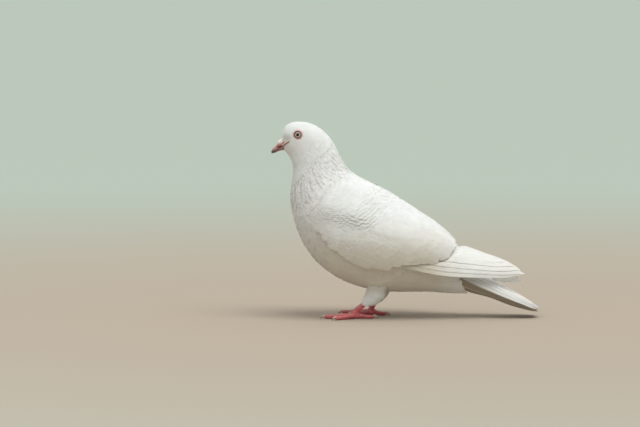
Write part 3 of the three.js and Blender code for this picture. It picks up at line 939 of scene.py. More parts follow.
@dataclass
class BodyForm:
    """The outline of the plumage from the bill to the tail, read off the solids as one smooth form.

    Each row of the spine is the middle of a section across the bird, in millimetres: X, Z, how far
    it leans from +X towards +Z in degrees, and how far out the section is looked for.
    """

    spine: tuple = (
        (-127.0, 180.9, 96, 13),
        (-119.7, 183.7, 91, 26),
        (-113.4, 181, 81, 31),
        (-107, 176.5, 69, 35),
        (-97.5, 160.8, 48, 40),
        (-90.8, 138.9, 34, 43),
        (-74.9, 113.5, 36, 53),
        (-60.3, 98.3, 41, 60),
        (-41.5, 83.5, 44, 62),
        (-20.8, 71.5, 46, 60),
        (0.3, 62.6, 49, 55),
        (20.3, 56.2, 51, 47),
        (37, 50.6, 55, 38),
        (49.8, 43.9, 58, 31),
        (61, 37.9, 57, 26),
        (70, 34, 53, 22),
    )
    stations: int = 180
    spokes: int = 120
    wing_lift: float = 2.3 * MM
    thigh: float = 27 * MM
    wing_aim: Pair = (112.0, 61.0)
    ripples: int = 11
    map_size: float = 0.36

    def aim(self) -> Array:
        """Returns the place beyond the tertials that all wing feathers point to."""
        return np.array([self.wing_aim[0] * MM, 0.0, self.wing_aim[1] * MM])

    def rise(self, points: Array) -> Array:
        """Returns the angles in degrees at which places are seen from the wings' aim."""
        aim = self.aim()
        return np.degrees(np.arctan2(points[..., 2] - aim[2], aim[0] - points[..., 0]))

    def build(self) -> None:
        """Reads the sections and smooths them."""
        share = np.linspace(0, 1, self.stations)
        rows = through(self.spine, share)
        centres = np.stack([rows[:, 0], 0 * rows[:, 0], rows[:, 1]], 1) * MM
        lean = np.radians(rows[:, 2])
        up = np.stack([np.cos(lean), 0 * lean, np.sin(lean)], 1)
        reach = rows[:, 3] * MM
        turn = 2 * np.pi * np.arange(self.spokes) / self.spokes
        across = np.array([0.0, 1.0, 0.0])
        spokes = -np.cos(turn)[None, :, None] * up[:, None] + np.sin(turn)[None, :, None] * across
        legs, wings = side_nodes("leg"), side_nodes("wing_coverts", "secondaries")
        nodes = [*FLESH, "tail", *side_nodes("eye"), *legs, *wings]
        corners, owners = triangles(nodes)
        on_leg = np.isin(owners, [nodes.index(leg) for leg in legs])
        shins = on_leg & (corners[..., 2].mean(1) < self.thigh)
        corners, owners = corners[~shins], owners[~shins]
        tree = ray_tree(corners)
        radius = np.full((self.stations, self.spokes), np.nan)
        self.on_wing = np.zeros((self.stations, self.spokes))
        for i in range(self.stations):
            for j in range(self.spokes):
                start = centres[i] + spokes[i, j] * reach[i]
                _, normal, face, distance = tree.ray_cast(Vector(start), Vector(-spokes[i, j]), reach[i])
                if face is None:
                    continue
                radius[i, j] = reach[i] - distance
                if owners[face] >= len(nodes) - len(wings):
                    self.on_wing[i, j] = 1
                    slant = abs(float(np.dot(np.array(normal), spokes[i, j])))
                    radius[i, j] -= self.wing_lift / max(slant, 0.6)
        radius = self.smoothed(self.filled(radius))
        points = centres[:, None] + spokes * radius[..., None]
        self.form = Form(points, True, spokes)
        self.wing = soften(self.on_wing, 1.5, 1.5)
        self.ahead = soften(self.on_wing, 3, 3)
        self.on_back = self.between_wings()
        self.cloak = soften(np.maximum(self.on_wing, self.on_back), 2, 2)
        self.travel = travelled(norm(np.diff(points, axis=0), axis=-1).mean(1))
        self.girth = norm(np.roll(points, -1, 1) - points, axis=-1).sum(1)
        long, wide = self.travel[-1] / MM, self.girth.max() / MM
        log.info("body form: %.0f mm long, girth up to %.0f mm", long, wide)

    def between_wings(self) -> Array:
        """Marks the strip of the back that lies between the two folded wings."""
        strip = np.zeros_like(self.on_wing)
        for i, row in enumerate(self.on_wing):
            hits = np.flatnonzero(row)
            inner = [hits[hits < self.spokes // 2], hits[hits > self.spokes // 2]]
            if len(inner[0]) and len(inner[1]):
                strip[i, inner[0].max() : inner[1].min() + 1] = 1
        return strip

    def filled(self, radius: Array) -> Array:
        """Fills the places where no solid was met from their neighbours, and drops lone spikes.

        Args:
            radius: (station, spoke), the form's radius, or nan.

        Returns:
            The radius everywhere.
        """
        for _ in range(6):
            ring = [np.roll(np.roll(radius, j, 1), i, 0) for i in (-1, 0, 1) for j in (-1, 0, 1)]
            around = np.nanmedian(np.stack(ring), axis=0)
            radius = np.where(np.isnan(radius), around, radius)
        radius = np.where(np.isnan(radius), np.nanmedian(radius), radius)
        last = len(radius) - 1
        near = [radius[np.clip(np.arange(last + 1) + i, 0, last)] for i in (-3, -2, -1, 0, 1, 2, 3)]
        radius = np.median(np.stack(near), axis=0)
        return np.median(np.stack([np.roll(radius, j, 1) for j in (-1, 0, 1)]), axis=0)

    def smoothed(self, radius: Array) -> Array:
        """Keeps the broad waves around each section, and smooths along the body."""
        waves = np.fft.rfft(radius, axis=1)
        order = np.arange(waves.shape[1])
        waves *= np.clip(1 - (order / self.ripples) ** 4, 0, 1)
        return blur(np.fft.irfft(waves, self.spokes, axis=1), 1.6, 0)

    def reading(self, table: Array, s: Array) -> Array:
        """Reads a table of one number for each station at shares along the body."""
        return np.interp(s, np.linspace(0, 1, self.stations), table)

    def find(self, x: Array, z: Array, side: Side) -> tuple[Array, Array]:
        """Finds places on one side of the form by their X and Z in metres.

        Args:
            x: Where they lie along the bird.
            z: How high they lie.
            side: The side of the bird.

        Returns:
            Their shares along and around.
        """
        grid = self.form.points
        on_side = grid[..., 1] * side.value > 0
        away = (grid[None, ..., 0] - x[:, None, None]) ** 2 + (grid[None, ..., 2] - z[:, None, None]) ** 2
        nearest = np.where(on_side[None], away, np.inf).reshape(len(x), -1).argmin(1)
        s = nearest // self.spokes / (self.stations - 1)
        t = nearest % self.spokes / self.spokes
        for _ in range(8):
            miss = np.stack([x, np.zeros(len(x)), z], 1) - self.form.at(s, t)
            miss[:, 1] = 0
            s, t = self.form.move(s, t, miss)
        return s, t

    def bake_place(self, s: Array, t: Array) -> Array:
        """Returns places on the unwrap of the skin, slit along the belly, for shares along and around."""
        along = self.reading(self.travel, s) / self.map_size
        around = (t % 1 - 0.5) * self.reading(self.girth, s) / self.map_size
        return np.stack([0.02 + along, 0.5 + around], -1)


# ---- Vanes ----


@dataclass(frozen=True)
class Vane:
    """The outline and the mesh of one feather's vane, and how much of the map OFBake it takes."""

    rows: int = 5
    columns: int = 4
    root: float = 0.4
    widest: float = 0.55
    blunt: float = 0.5
    tip: float = 0.16
    thick: float = 0.16 * MM
    patch: float = 0.003

    def shares(self) -> Array:
        """Returns the shares along the vane of its rows, closer together towards the tip."""
        return 1 - (1 - np.linspace(0, 1, self.rows + 1)) ** 1.25

    def profile(self) -> Array:
        """Returns the share of the full width at each row."""
        u = self.shares()
        rising = self.root + (1 - self.root) * np.sin(np.clip(u / self.widest, 0, 1) * math.pi / 2)
        fall = np.clip((u - self.widest) / (1 - self.widest), 0, 1)
        falling = self.tip + (1 - self.tip) * np.maximum(1 - fall**2, 0) ** self.blunt
        return np.where(u < self.widest, rising, falling)

    def faces(self, mirrored: bool = False) -> Array:
        """Lists one vane's faces, with a bottom that shares the rim of the top.

        Args:
            mirrored: Whether the columns run the other way.

        Returns:
            One row of three corners for each face.
        """
        rows, columns = self.rows, self.columns
        top = np.arange((rows + 1) * (columns + 1)).reshape(rows + 1, columns + 1)
        bottom = top.copy()
        inner = np.arange((rows - 1) * (columns - 1)).reshape(rows - 1, columns - 1)
        bottom[1:-1, 1:-1] = inner + top.size
        near_tip = np.arange(rows)[:, None] >= rows / 2
        far_side = np.arange(columns)[None] >= columns / 2
        outwards = (near_tip == far_side).ravel()[:, None]
        sides = []
        for grid, flip in ((top, not mirrored), (bottom, mirrored)):
            a, b = grid[:-1, :-1].reshape(-1), grid[:-1, 1:].reshape(-1)
            c, d = grid[1:, 1:].reshape(-1), grid[1:, :-1].reshape(-1)
            first = np.where(outwards, np.stack([a, b, c], -1), np.stack([a, b, d], -1))
            second = np.where(outwards, np.stack([a, c, d], -1), np.stack([b, c, d], -1))
            both = np.concatenate([first, second])
            sides.append(both[:, ::-1] if flip else both)
        return np.concatenate(sides)


@dataclass
class Bunch:
    """Vanes that are joined into one coat piece."""

    points: list[Array] = field(default_factory=list)
    faces: list[Array] = field(default_factory=list)
    bake: list[Array] = field(default_factory=list)
    vane: list[Array] = field(default_factory=list)
    values: dict[str, list[Array]] = field(default_factory=dict)
    count: int = 0

    def take(self, points: Array, faces: Array, bake: Array, vane: Array, **values: Array) -> None:
        """Adds vanes of one kind.

        Args:
            points: (vane, vertex, XYZ).
            faces: One vane's faces.
            bake: (vane, vertex, UV), for the map OFBake.
            vane: (vane, vertex, UV), metres across and along.
            values: (vane, vertex) numbers by attribute name.
        """
        number, size = points.shape[:2]
        start = self.count + np.arange(number)[:, None, None] * size
        self.faces.append((faces[None] + start).reshape(-1, faces.shape[1]))
        self.points.append(points.reshape(-1, 3))
        self.bake.append(bake.reshape(-1, 2))
        self.vane.append(vane.reshape(-1, 2))
        for key, value in values.items():
            self.values.setdefault(key, []).append(value.reshape(-1))
        self.count += number * size

    def piece(self, name: str) -> Piece:
        """Makes the joined mesh with its maps and attributes, and returns it."""
        piece = mesh_piece(name, np.concatenate(self.points), np.concatenate(self.faces))
        set_map(piece, "OFBake", np.concatenate(self.bake))
        set_map(piece, "vane", np.concatenate(self.vane))
        for key, value in self.values.items():
            set_value(piece, key, np.concatenate(value))
        smooth_shade(piece, 100)
        return piece


@dataclass
class Lay:
    """How a group of feathers lies on a form. Lengths are in metres, one for each feather."""

    s: Array
    t: Array
    heading: Array
    length: Array
    width: Array
    lift: Array
    depth: Array
    camber: Array
    tone: Array
    bake: Array
    curl: Array | float = 0.0
    twist: Array | float = 0.0
    ragged: float = 0.0
    aim: Array | None = None


def grow(form: Form, lay: Lay, vane: Vane, draws: Draws) -> Bunch:
    """Lays feathers on a form.

    Each vane starts at its root, deep in the coat, runs along the form in its own heading, and
    rises until its tip lies on the form.

    Args:
        form: The form.
        lay: Where each feather starts and how it lies.
        vane: The shape of each vane.
        draws: Seeded random draws.

    Returns:
        The vanes.
    """
    shares, profile = vane.shares(), vane.profile()
    offsets = np.linspace(-1, 1, vane.columns + 1)
    s, t = lay.s.copy(), lay.t.copy()
    heading = unit(lay.heading)
    number = len(s)
    top = np.zeros((number, vane.rows + 1, vane.columns + 1, 3))
    normals = np.zeros_like(top)
    last = 0.0
    curl = np.broadcast_to(lay.curl, (number,))
    twist = np.broadcast_to(lay.twist, (number,))
    for k, (u, wide) in enumerate(zip(shares, profile)):
        normal = form.normal(s, t)
        if lay.aim is not None:
            heading = unit(lay.aim - form.at(s, t))
        flow = drape(heading, normal)
        if k:
            s, t = form.move(s, t, flow * (lay.length * (u - last))[:, None])
            last = u
            normal = form.normal(s, t)
            flow = drape(heading, normal)
        side = np.cross(normal, flow)
        for m, c in enumerate(offsets):
            pull = np.zeros(number)
            if k == vane.rows:
                room = (1 - shares[-2]) * lay.length
                pull = -(c**2) * np.minimum(0.16 * lay.width, 0.6 * room)
                pull = pull + np.clip(lay.ragged * draws.standard_normal(number), -1, 1) * 0.35 * room
            lateral = side * (0.5 * c * wide * lay.width)[:, None] + flow * pull[:, None]
            s2, t2 = form.move(s, t, lateral)
            n2 = form.normal(s2, t2)
            height = lay.lift + lay.depth * (u**0.8 - 1) - lay.camber * c**2 * wide
            height = height + curl * u**4 + twist * c * wide * u
            top[:, k, m] = form.at(s2, t2) + n2 * height[:, None]
            normals[:, k, m] = n2
    under = top[:, 1:-1, 1:-1] - normals[:, 1:-1, 1:-1] * vane.thick
    points = np.concatenate([top.reshape(number, -1, 3), under.reshape(number, -1, 3)], 1)
    across, along = np.meshgrid(offsets, shares)
    flat = doubled(np.stack([0.5 * across * profile[:, None], along], -1))
    scale = np.stack([lay.width, lay.length], -1)[:, None]
    local = (flat - [0.0, 0.5]) * vane.patch
    # How near each vertex lies to the vane's edge and tip, where the finish paints shade for the gaps between
    # feathers.
    rim = doubled(np.abs(across) ** 1.5 * (0.35 + 0.65 * along))
    sound = norm(points.max(1) - points.min(1), axis=-1) < 1.2 * lay.length + lay.width
    bunch = Bunch()
    bunch.take(
        points[sound],
        vane.faces(),
        (lay.bake[:, None] + local[None])[sound],
        (flat[None] * scale)[sound],
        tone=np.repeat(lay.tone[sound, None], points.shape[1], 1),
        rim=np.repeat(rim[None], int(sound.sum()), 0),
    )
    return bunch


@dataclass(frozen=True)
class Tract:
    """One tract of body feathers. Pairs are values at its start and at its end, in millimetres."""

    name: str
    start: float
    end: float
    length: Pair
    width: Pair
    pitch: Pair
    depth: Pair
    camber: float
    vane: Vane
    jitter: float = 0.25
    bias: float = 0.0
    ragged: float = 0.0
    files: int = 0
    curl: float = 0.1
    seed: int = 1

    def between(self, pair: Pair, share: Array | float) -> Array | float:
        """Returns a size in metres at shares of the way through the tract."""
        return (pair[0] * (1 - share) + pair[1] * share) * MM


@dataclass
class BodyCoat:
    """The small feathers of the head, neck, breast, belly and back.

    The feathers of the neck lie in files, with furrows between them.  The face outline is where
    feathers leave the bill, the cere and the corner of the mouth free, in millimetres.  The
    undertail feathers end at undertail_end at the height undertail_low, and further forward above.
    """

    body: BodyForm
    eye: Array
    lid: float
    undertail_end: float = 66 * MM
    undertail_low: float = 24 * MM
    undertail_slant: float = 0.55
    face: tuple = (
        (-142, 192), (-131.5, 187.6), (-128.6, 185.6), (-125.0, 182.9), (-120.6, 184.3),
        (-119.9, 183.2), (-122.6, 180.6), (-125.0, 178.8), (-126.6, 176.4), (-128.2, 173), (-142, 160),
    )
    tracts: tuple = (
        Tract("head", 0.006, 0.262, (2.0, 5.0), (1.5, 2.8), (0.75, 1.8), (0.16, 0.4), 0.08, Vane(4, 3), 0.3,
              curl=0.02, seed=11),
        Tract("neck", 0.205, 0.38, (7, 14), (2.3, 4.3), (1.7, 3.3), (0.8, 1.1), 0.85,
              Vane(5, 2, 0.5, 0.45, 0.8, 0.06), 0.4, 20, files=46, curl=0.05, seed=12),
        Tract("breast", 0.35, 0.56, (11, 16), (5.4, 8.6), (3.3, 4.8), (0.9, 0.55), 0.16, Vane(4, 4), seed=13),
        Tract("belly", 0.545, 0.80, (16, 20), (8.6, 8), (4.9, 4.6), (0.55, 0.9), 0.16, Vane(5, 4),
              ragged=0.3, seed=14),
        Tract("tail_coverts", 0.785, 0.985, (18, 22), (8, 8), (4.6, 3.8), (1.2, 1.4), 0.3,
              Vane(5, 4, 0.4, 0.5, 0.6, 0.3), 0.3, ragged=0.3, curl=0.1, seed=15),
    )

    def roots(self, tract: Tract, draws: Draws) -> tuple[Array, Array, Array]:
        """Sets out a tract's roots in staggered rows, or in files that wander slowly.

        Args:
            tract: The tract.
            draws: Seeded random draws.

        Returns:
            Shares along the body, shares around it, and shares of the way through the tract.
        """
        form = self.body.form
        rows, shares = [], []
        s = tract.start
        wander = np.zeros(max(tract.files, 1))
        while s < tract.end:
            k = (s - tract.start) / (tract.end - tract.start)
            pitch = tract.between(tract.pitch, k)
            i = int(round(s * (self.body.stations - 1)))
            travel = travelled(gaps(form.points[i]))
            if tract.files:
                wander = 0.9 * wander + draws.normal(0, 0.11, tract.files)
                want = (np.arange(tract.files) + 0.5 + wander) * travel[-1] / tract.files
            else:
                count = max(6, int(travel[-1] / (pitch * 1.05)))
                want = (np.arange(count) + 0.5 * (len(rows) % 2)) * travel[-1] / count
                want = want + draws.normal(0, tract.jitter * pitch * 0.5, count)
            t = np.interp(want % travel[-1], travel, np.arange(len(travel)) / self.body.spokes)
            step = pitch / norm(form.along[i], axis=1).mean()
            rows.append(np.stack([s + draws.normal(0, tract.jitter * 0.4, len(t)) * step, t], 1))
            shares.append(np.full(len(t), k))
            s += step
        s, t = np.concatenate(rows).T
        return s, t, np.concatenate(shares)

    def kept(self, s: Array, t: Array, length: Array) -> Array:
        """Tells which feathers neither lie on bare parts nor deep under a folded wing.

        Args:
            s: Shares along, where they start.
            t: Shares around.
            length: How long they are.

        Returns:
            Whether each is kept.
        """
        form = self.body.form
        keep = form.level(soften(self.body.on_wing, 4, 4), s, t) <= 0.93
        roots = form.at(s, t)
        tips = form.at(*form.move(s, t, unit(form.read(form.along, s, t)) * length[:, None] * 0.85))
        for points in (roots, tips):
            keep &= ~inside(self.face, points[:, 0], points[:, 2])
            for mirror in (1, -1):
                keep &= norm(points - self.eye * [1, mirror, 1], axis=1) > self.lid
        return keep

    def undertail_room(self, s: Array, t: Array) -> Array:
        """Returns how long a feather can be, so that those under the tail end on one slanting line."""
        form = self.body.form
        roots = form.at(s, t)
        last = self.undertail_end - self.undertail_slant * (roots[:, 2] - self.undertail_low)
        return np.where(form.normal(s, t)[:, 2] < 0.3, last - roots[:, 0], 1.0)

    def build(self, finishes: dict[str, Material]) -> None:
        """Grows every tract and dresses it in its own finish, or in the plain one."""
        for tract in self.tracts:
            self.grow_tract(tract, finishes.get(tract.name, finishes["body"]))

    def grow_tract(self, tract: Tract, material: Material) -> None:
        """Grows one tract.

        Args:
            tract: The tract.
            material: Its finish.
        """
        form = self.body.form
        draws = np.random.default_rng(tract.seed)
        s, t, k = self.roots(tract, draws)
        speed = norm(form.read(form.along, s, t), axis=1)
        mean = self.body.reading(norm(form.along, axis=2).mean(1), s)
        stretch = np.clip(speed / mean, 0.55, 1.7)
        length = tract.between(tract.length, k) * stretch * draws.normal(1, 0.08, len(s))
        room = self.undertail_room(s, t)
        keep = self.kept(s, t, length) & (room > 0.35 * length)
        length = np.minimum(length, room)
        s, t, k, length, stretch = s[keep], t[keep], k[keep], length[keep], stretch[keep]
        number = len(s)
        width = tract.between(tract.width, k) * draws.normal(1, 0.07, number)
        if tract.files:
            girth = self.body.reading(self.body.girth, s)
            width = 1.12 * girth / tract.files * draws.normal(1, 0.08, number)
        flow = unit(form.read(form.along, s, t))
        side = np.cross(form.normal(s, t), flow)
        turn = draws.normal(0, 0.07, number) - np.radians(tract.bias) * np.sin(2 * np.pi * t)
        lay = Lay(
            s, t, unit(flow + side * turn[:, None]), length, width,
            form.level(self.wing_lift(), s, t) + draws.normal(0, 0.05, number) * MM,
            tract.between(tract.depth, k) * draws.uniform(0.85, 1.15, number),
            np.full(number, tract.camber * MM) * width / width.max(),
            draws.uniform(0, 1, number) ** 2,
            self.body.bake_place(s, t),
            curl=draws.uniform(0, tract.curl, number) * MM,
            twist=draws.normal(0, 0.05, number) * MM,
            ragged=tract.ragged,
        )
        bunch = grow(form, lay, tract.vane, draws)
        finish_piece(bunch.piece(f"plumage_{tract.name}"), material)

    def wing_lift(self) -> Array:
        """Returns how far small feathers stand off the form where the front of a wing begins."""
        front = ease(self.body.rise(self.body.form.points), 8, 11)
        back = soften(self.body.on_back, 3, 2)
        edge = soften(self.body.on_wing, 3, 3) * 0.08 * front
        return np.maximum(back * 0.9, edge) * self.body.wing_lift


@dataclass
class WingCoat:
    """The coverts, scapulars and secondaries of one folded wing.

    Wing feathers all point to one place beyond the tertials, and are set out by their distance
    from it.  Where a place is seen from there at more than fore degrees, feathers also start a
    little ahead of the wing.  They stand up most around the place ruffled, in millimetres.
    """

    body: BodyForm
    side: Side
    pitch: Triple = (3.1, 4.4, 7.2)
    length: Triple = (8, 14, 34)
    width: Triple = (5.6, 7.6, 13)
    depth: Triple = (0.7, 0.7, 0.7)
    zones: Triple = (192, 152, 100)
    span: Pair = (0.33, 0.86)
    open_rear: float = 17 * MM
    lead: float = 8 * MM
    fore: float = 9.5
    overhang: float = 2.6
    ruffled: Triple = (-58, 0, 112)
    ruffle: float = 26 * MM
    smoothest: float = 0.6
    fan: tuple[float, ...] = (0.6, 3.0, 5.5, 8.0, 10.5, 13.0, 15.5, 18.0)
    longest: float = 62 * MM
    vane: Vane = Vane(5, 4, 0.5, 0.55, 0.5, 0.2)
    long_vane: Vane = Vane(9, 6, 0.7, 0.6, 0.5, 0.2, 0.22 * MM)

    def mask(self, s: Array, t: Array) -> Array:
        """Returns how much of a place is on a wing, from 0 to 1."""
        return self.body.form.level(self.body.wing, s, t)

    def reach(self, s: Array, t: Array, aim: Array) -> Array:
        """Finds how far places are from the wing's rear edge, along its feathers.

        Args:
            s: Shares along.
            t: Shares around.
            aim: Where the feathers point.

        Returns:
            One distance for each place.
        """
        form = self.body.form
        s, t = s.copy(), t.copy()
        gone = np.zeros(len(s))
        within = np.ones(len(s), bool)
        lead = np.where(self.body.rise(form.at(s, t)) > self.fore, self.lead, 1.5 * MM)
        step = 1.5 * MM
        for k in range(90):
            normal = form.normal(s, t)
            heading = aim - form.at(s, t)
            s, t = form.move(s, t, drape(heading, normal) * step)
            within &= (self.mask(s, t) > 0.45) | (k * step < lead)
            gone += within * step
        return gone

    def build(self, material: Material, flight: Material) -> None:
        """Grows the wing's feathers.

        Args:
            material: The finish of the coverts.
            flight: The finish of the secondaries.
        """
        form = self.body.form
        draws = np.random.default_rng(30 + self.side.value)
        aim = self.body.aim()
        rows = []
        s = self.span[0]
        while s < self.span[1]:
            i = int(round(s * (self.body.stations - 1)))
            ring = form.points[i]
            away = norm((ring - aim) * [1, 0, 1], axis=1)
            travel = travelled(gaps(ring) / self.scaled(self.pitch, away))
            number = int(travel[-1])
            want = (np.arange(number) + 0.5 * (len(rows) % 2)) * travel[-1] / number
            want = (want + draws.normal(0, 0.09, number)) % travel[-1]
            t = np.interp(want, travel, np.arange(len(travel)) / self.body.spokes)
            t = t[np.sin(2 * np.pi * t) * self.side.value > 0]
            middle = norm(ring[self.body.on_wing[i] > 0] - aim, axis=1)
            pitch = float(self.scaled(self.pitch, middle.mean())) if len(middle) else 4 * MM
            step = 0.9 * pitch / norm(form.along[i], axis=1).mean()
            rows.append(np.stack([s + draws.normal(0, 0.12, len(t)) * step, t], 1))
            s += step
        s, t = np.concatenate(rows).T
        fore = self.body.rise(form.at(s, t)) > self.fore
        keep = (self.mask(s, t) > 0.5) | (fore & (form.level(self.body.ahead, s, t) > 0.12))
        s, t = s[keep], t[keep]
        root = form.at(s, t)
        away = norm((root - aim) * [1, 0, 1], axis=1)
        room = self.reach(s, t, aim)
        length = np.minimum(self.scaled(self.length, away), room - 4 * MM) * draws.normal(1, 0.05, len(s))
        keep = (length > 5 * MM) & (room > self.open_rear)
        s, t, away, length, root = s[keep], t[keep], away[keep], length[keep], root[keep]
        number = len(s)
        flow = aim - root
        soft = form.level(self.body.cloak, *form.move(s, t, unit(flow) * 5 * MM))
        rise = self.body.rise(root)
        rear = (1 - ease(away, 0.13, 0.16)) * (1 - ease(rise, 13, 17))
        edge = np.maximum(1 - ease(rise, 8, 11), rear)
        front = ease(rise, 12, 17) * (1 - form.level(self.body.cloak, s, t))
        lift = soft * (1 + 1.5 * ease(rise, 12, 17) * ease(away, 0.15, 0.18))
        lift = lift + (self.overhang - lift) * edge
        spot = norm((root - np.array(self.ruffled) * MM) * [1, 0, 1], axis=1)
        calm = self.smoothest + (1 - self.smoothest) * np.exp(-((spot / self.ruffle) ** 2))
        depth = self.scaled(self.depth, away) * calm
        lay = Lay(
            s, t, flow, length, self.scaled(self.width, away) * draws.normal(1, 0.05, number),
            lift * self.body.wing_lift + draws.normal(0, 0.05, number) * MM,
            depth * draws.uniform(0.9, 1.1, number) + 2.0 * front * self.body.wing_lift,
            np.full(number, 0.16 * MM),
            draws.uniform(0, 1, number) ** 2,
            self.body.bake_place(s, t),
            curl=draws.uniform(0, 0.1, number) * MM,
            twist=draws.normal(0.05 * self.side.value, 0.04, number) * MM,
            aim=aim,
        )
        bunch = grow(form, lay, self.vane, draws)
        finish_piece(bunch.piece(f"plumage_wing_{self.side.label}"), material)
        self.secondaries(aim, flight)

    def scaled(self, triple: Triple, away: Array) -> Array:
        """Returns a size in metres that changes with the distance from the aim."""
        knots = np.array(self.zones[::-1]) * MM
        return np.interp(away, knots, np.array(triple[::-1]) * MM)

    def secondaries(self, aim: Array, material: Material) -> None:
        """Grows the tertials and secondaries that end in the wing's rear and lower edge.

        Args:
            aim: Where the feathers point.
            material: Their finish.
        """
        form = self.body.form
        draws = np.random.default_rng(50 + self.side.value)
        around = np.arange(self.body.spokes) / self.body.spokes
        on_wing = (self.body.wing > 0.5) & (np.sin(2 * np.pi * around) * self.side.value > 0)
        rows, columns = np.nonzero(on_wing)
        s_in, t_in = rows / (self.body.stations - 1), around[columns]
        flat = (form.points[on_wing] - aim)[:, [0, 2]]
        away = norm(flat, axis=1)
        angle = np.degrees(np.arctan2(flat[:, 1], -flat[:, 0]))
        starts, lengths = [], []
        for phi in self.fan:
            near = np.flatnonzero(np.abs(angle - phi) < 1.6)
            rear = away[near].min()
            index = near[np.abs(away[near] - rear - self.longest).argmin()]
            starts.append((s_in[index], t_in[index]))
            lengths.append(away[index] - rear)
        s, t = np.array(starts).T
        number = len(s)
        order = np.arange(number)
        lay = Lay(
            s, t, aim - form.at(s, t), np.array(lengths) + 5.5 * MM, np.full(number, 15 * MM),
            self.body.wing_lift + (0.1 * order + 0.5) * MM,
            np.full(number, 3.2 * MM), np.full(number, 0.3 * MM),
            draws.uniform(0, 1, number) ** 2, self.body.bake_place(s, t),
            twist=np.full(number, 0.35 * self.side.value) * MM, aim=aim,
        )
        bunch = grow(form, lay, self.long_vane, draws)
        finish_piece(bunch.piece(f"quills_secondary_{self.side.label}"), material)


# ---- Flight feathers ----


def section(corners: Array, x: float) -> Array:
    """Cuts triangles by a plane across the bird.

    Args:
        corners: The triangles, as (triangle, corner, XYZ).
        x: Where the plane stands.

    Returns:
        The points of the cut, as rows of Y and Z.
    """
    found = []
    for a, b in ((0, 1), (1, 2), (2, 0)):
        start, end = corners[:, a], corners[:, b]
        crossing = (start[:, 0] - x) * (end[:, 0] - x) < 0
        start, end = start[crossing], end[crossing]
        share = ((x - start[:, 0]) / (end[:, 0] - start[:, 0]))[:, None]
        found.append((start + (end - start) * share)[:, 1:])
    return np.concatenate(found)


def slab(form: Form, path: Array, lift: Array, thick: float) -> tuple[Array, Array]:
    """Makes a thin closed slab over part of a form.

    Args:
        form: The form.
        path: (row, column, share along and share across), where its vertices stand on the form.
        lift: (row, column), metres above the form.
        thick: Its thickness in metres.

    Returns:
        Its points and its faces.
    """
    rows, columns = lift.shape
    normals = form.normal(path[..., 0], path[..., 1])
    top = form.at(path[..., 0], path[..., 1]) + normals * lift[..., None]
    under = top[1:-1, 1:-1] - normals[1:-1, 1:-1] * thick
    facing = np.cross(top[1, 1] - top[1, 0], top[2, 0] - top[1, 0])
    faces = Vane(rows - 1, columns - 1).faces(float(dot(facing, normals[1, 0])) > 0)
    return np.concatenate([top.reshape(-1, 3), under.reshape(-1, 3)]), faces


def add_quill(
    bunch: Bunch, form: Form, path: Array, lift: Array, wide: Array, buff: Array,
    thick: float, tone: float, patch: Pair,
) -> None:
    """Adds one long feather.

    Args:
        bunch: What it is added to.
        form: The sheet that it lies on.
        path: (row, column, share along and share across), the places of its vertices.
        lift: (row, column), metres above the sheet.
        wide: (row, column), metres from the shaft.
        buff: (row, column), how far it turns dark buff, for painted shade and a faint buff tone.
        thick: Its thickness in metres.
        tone: Its own slight shade.
        patch: Where its strip starts and ends on the map OFBake, from 0 to 1.
    """
    rows, columns = lift.shape
    points, faces = slab(form, path, lift, thick)
    middle = points[: rows * columns].reshape(rows, columns, 3)[:, columns // 2]
    steps = norm(np.diff(middle, axis=0), axis=1)
    along = np.repeat(travelled(steps)[:, None], columns, 1)
    across = np.repeat(np.linspace(0.06, 0.94, columns)[None], rows, 0)
    low, high = patch
    bake = np.stack([0.02 + 0.96 * along / along[-1, 0], low + (high - low) * across], -1)
    vane = np.stack([wide, along], -1)
    bunch.take(
        points[None], faces, doubled(bake)[None], doubled(vane)[None],
        tone=np.full((1, len(points)), tone), buff=doubled(buff)[None],
    )


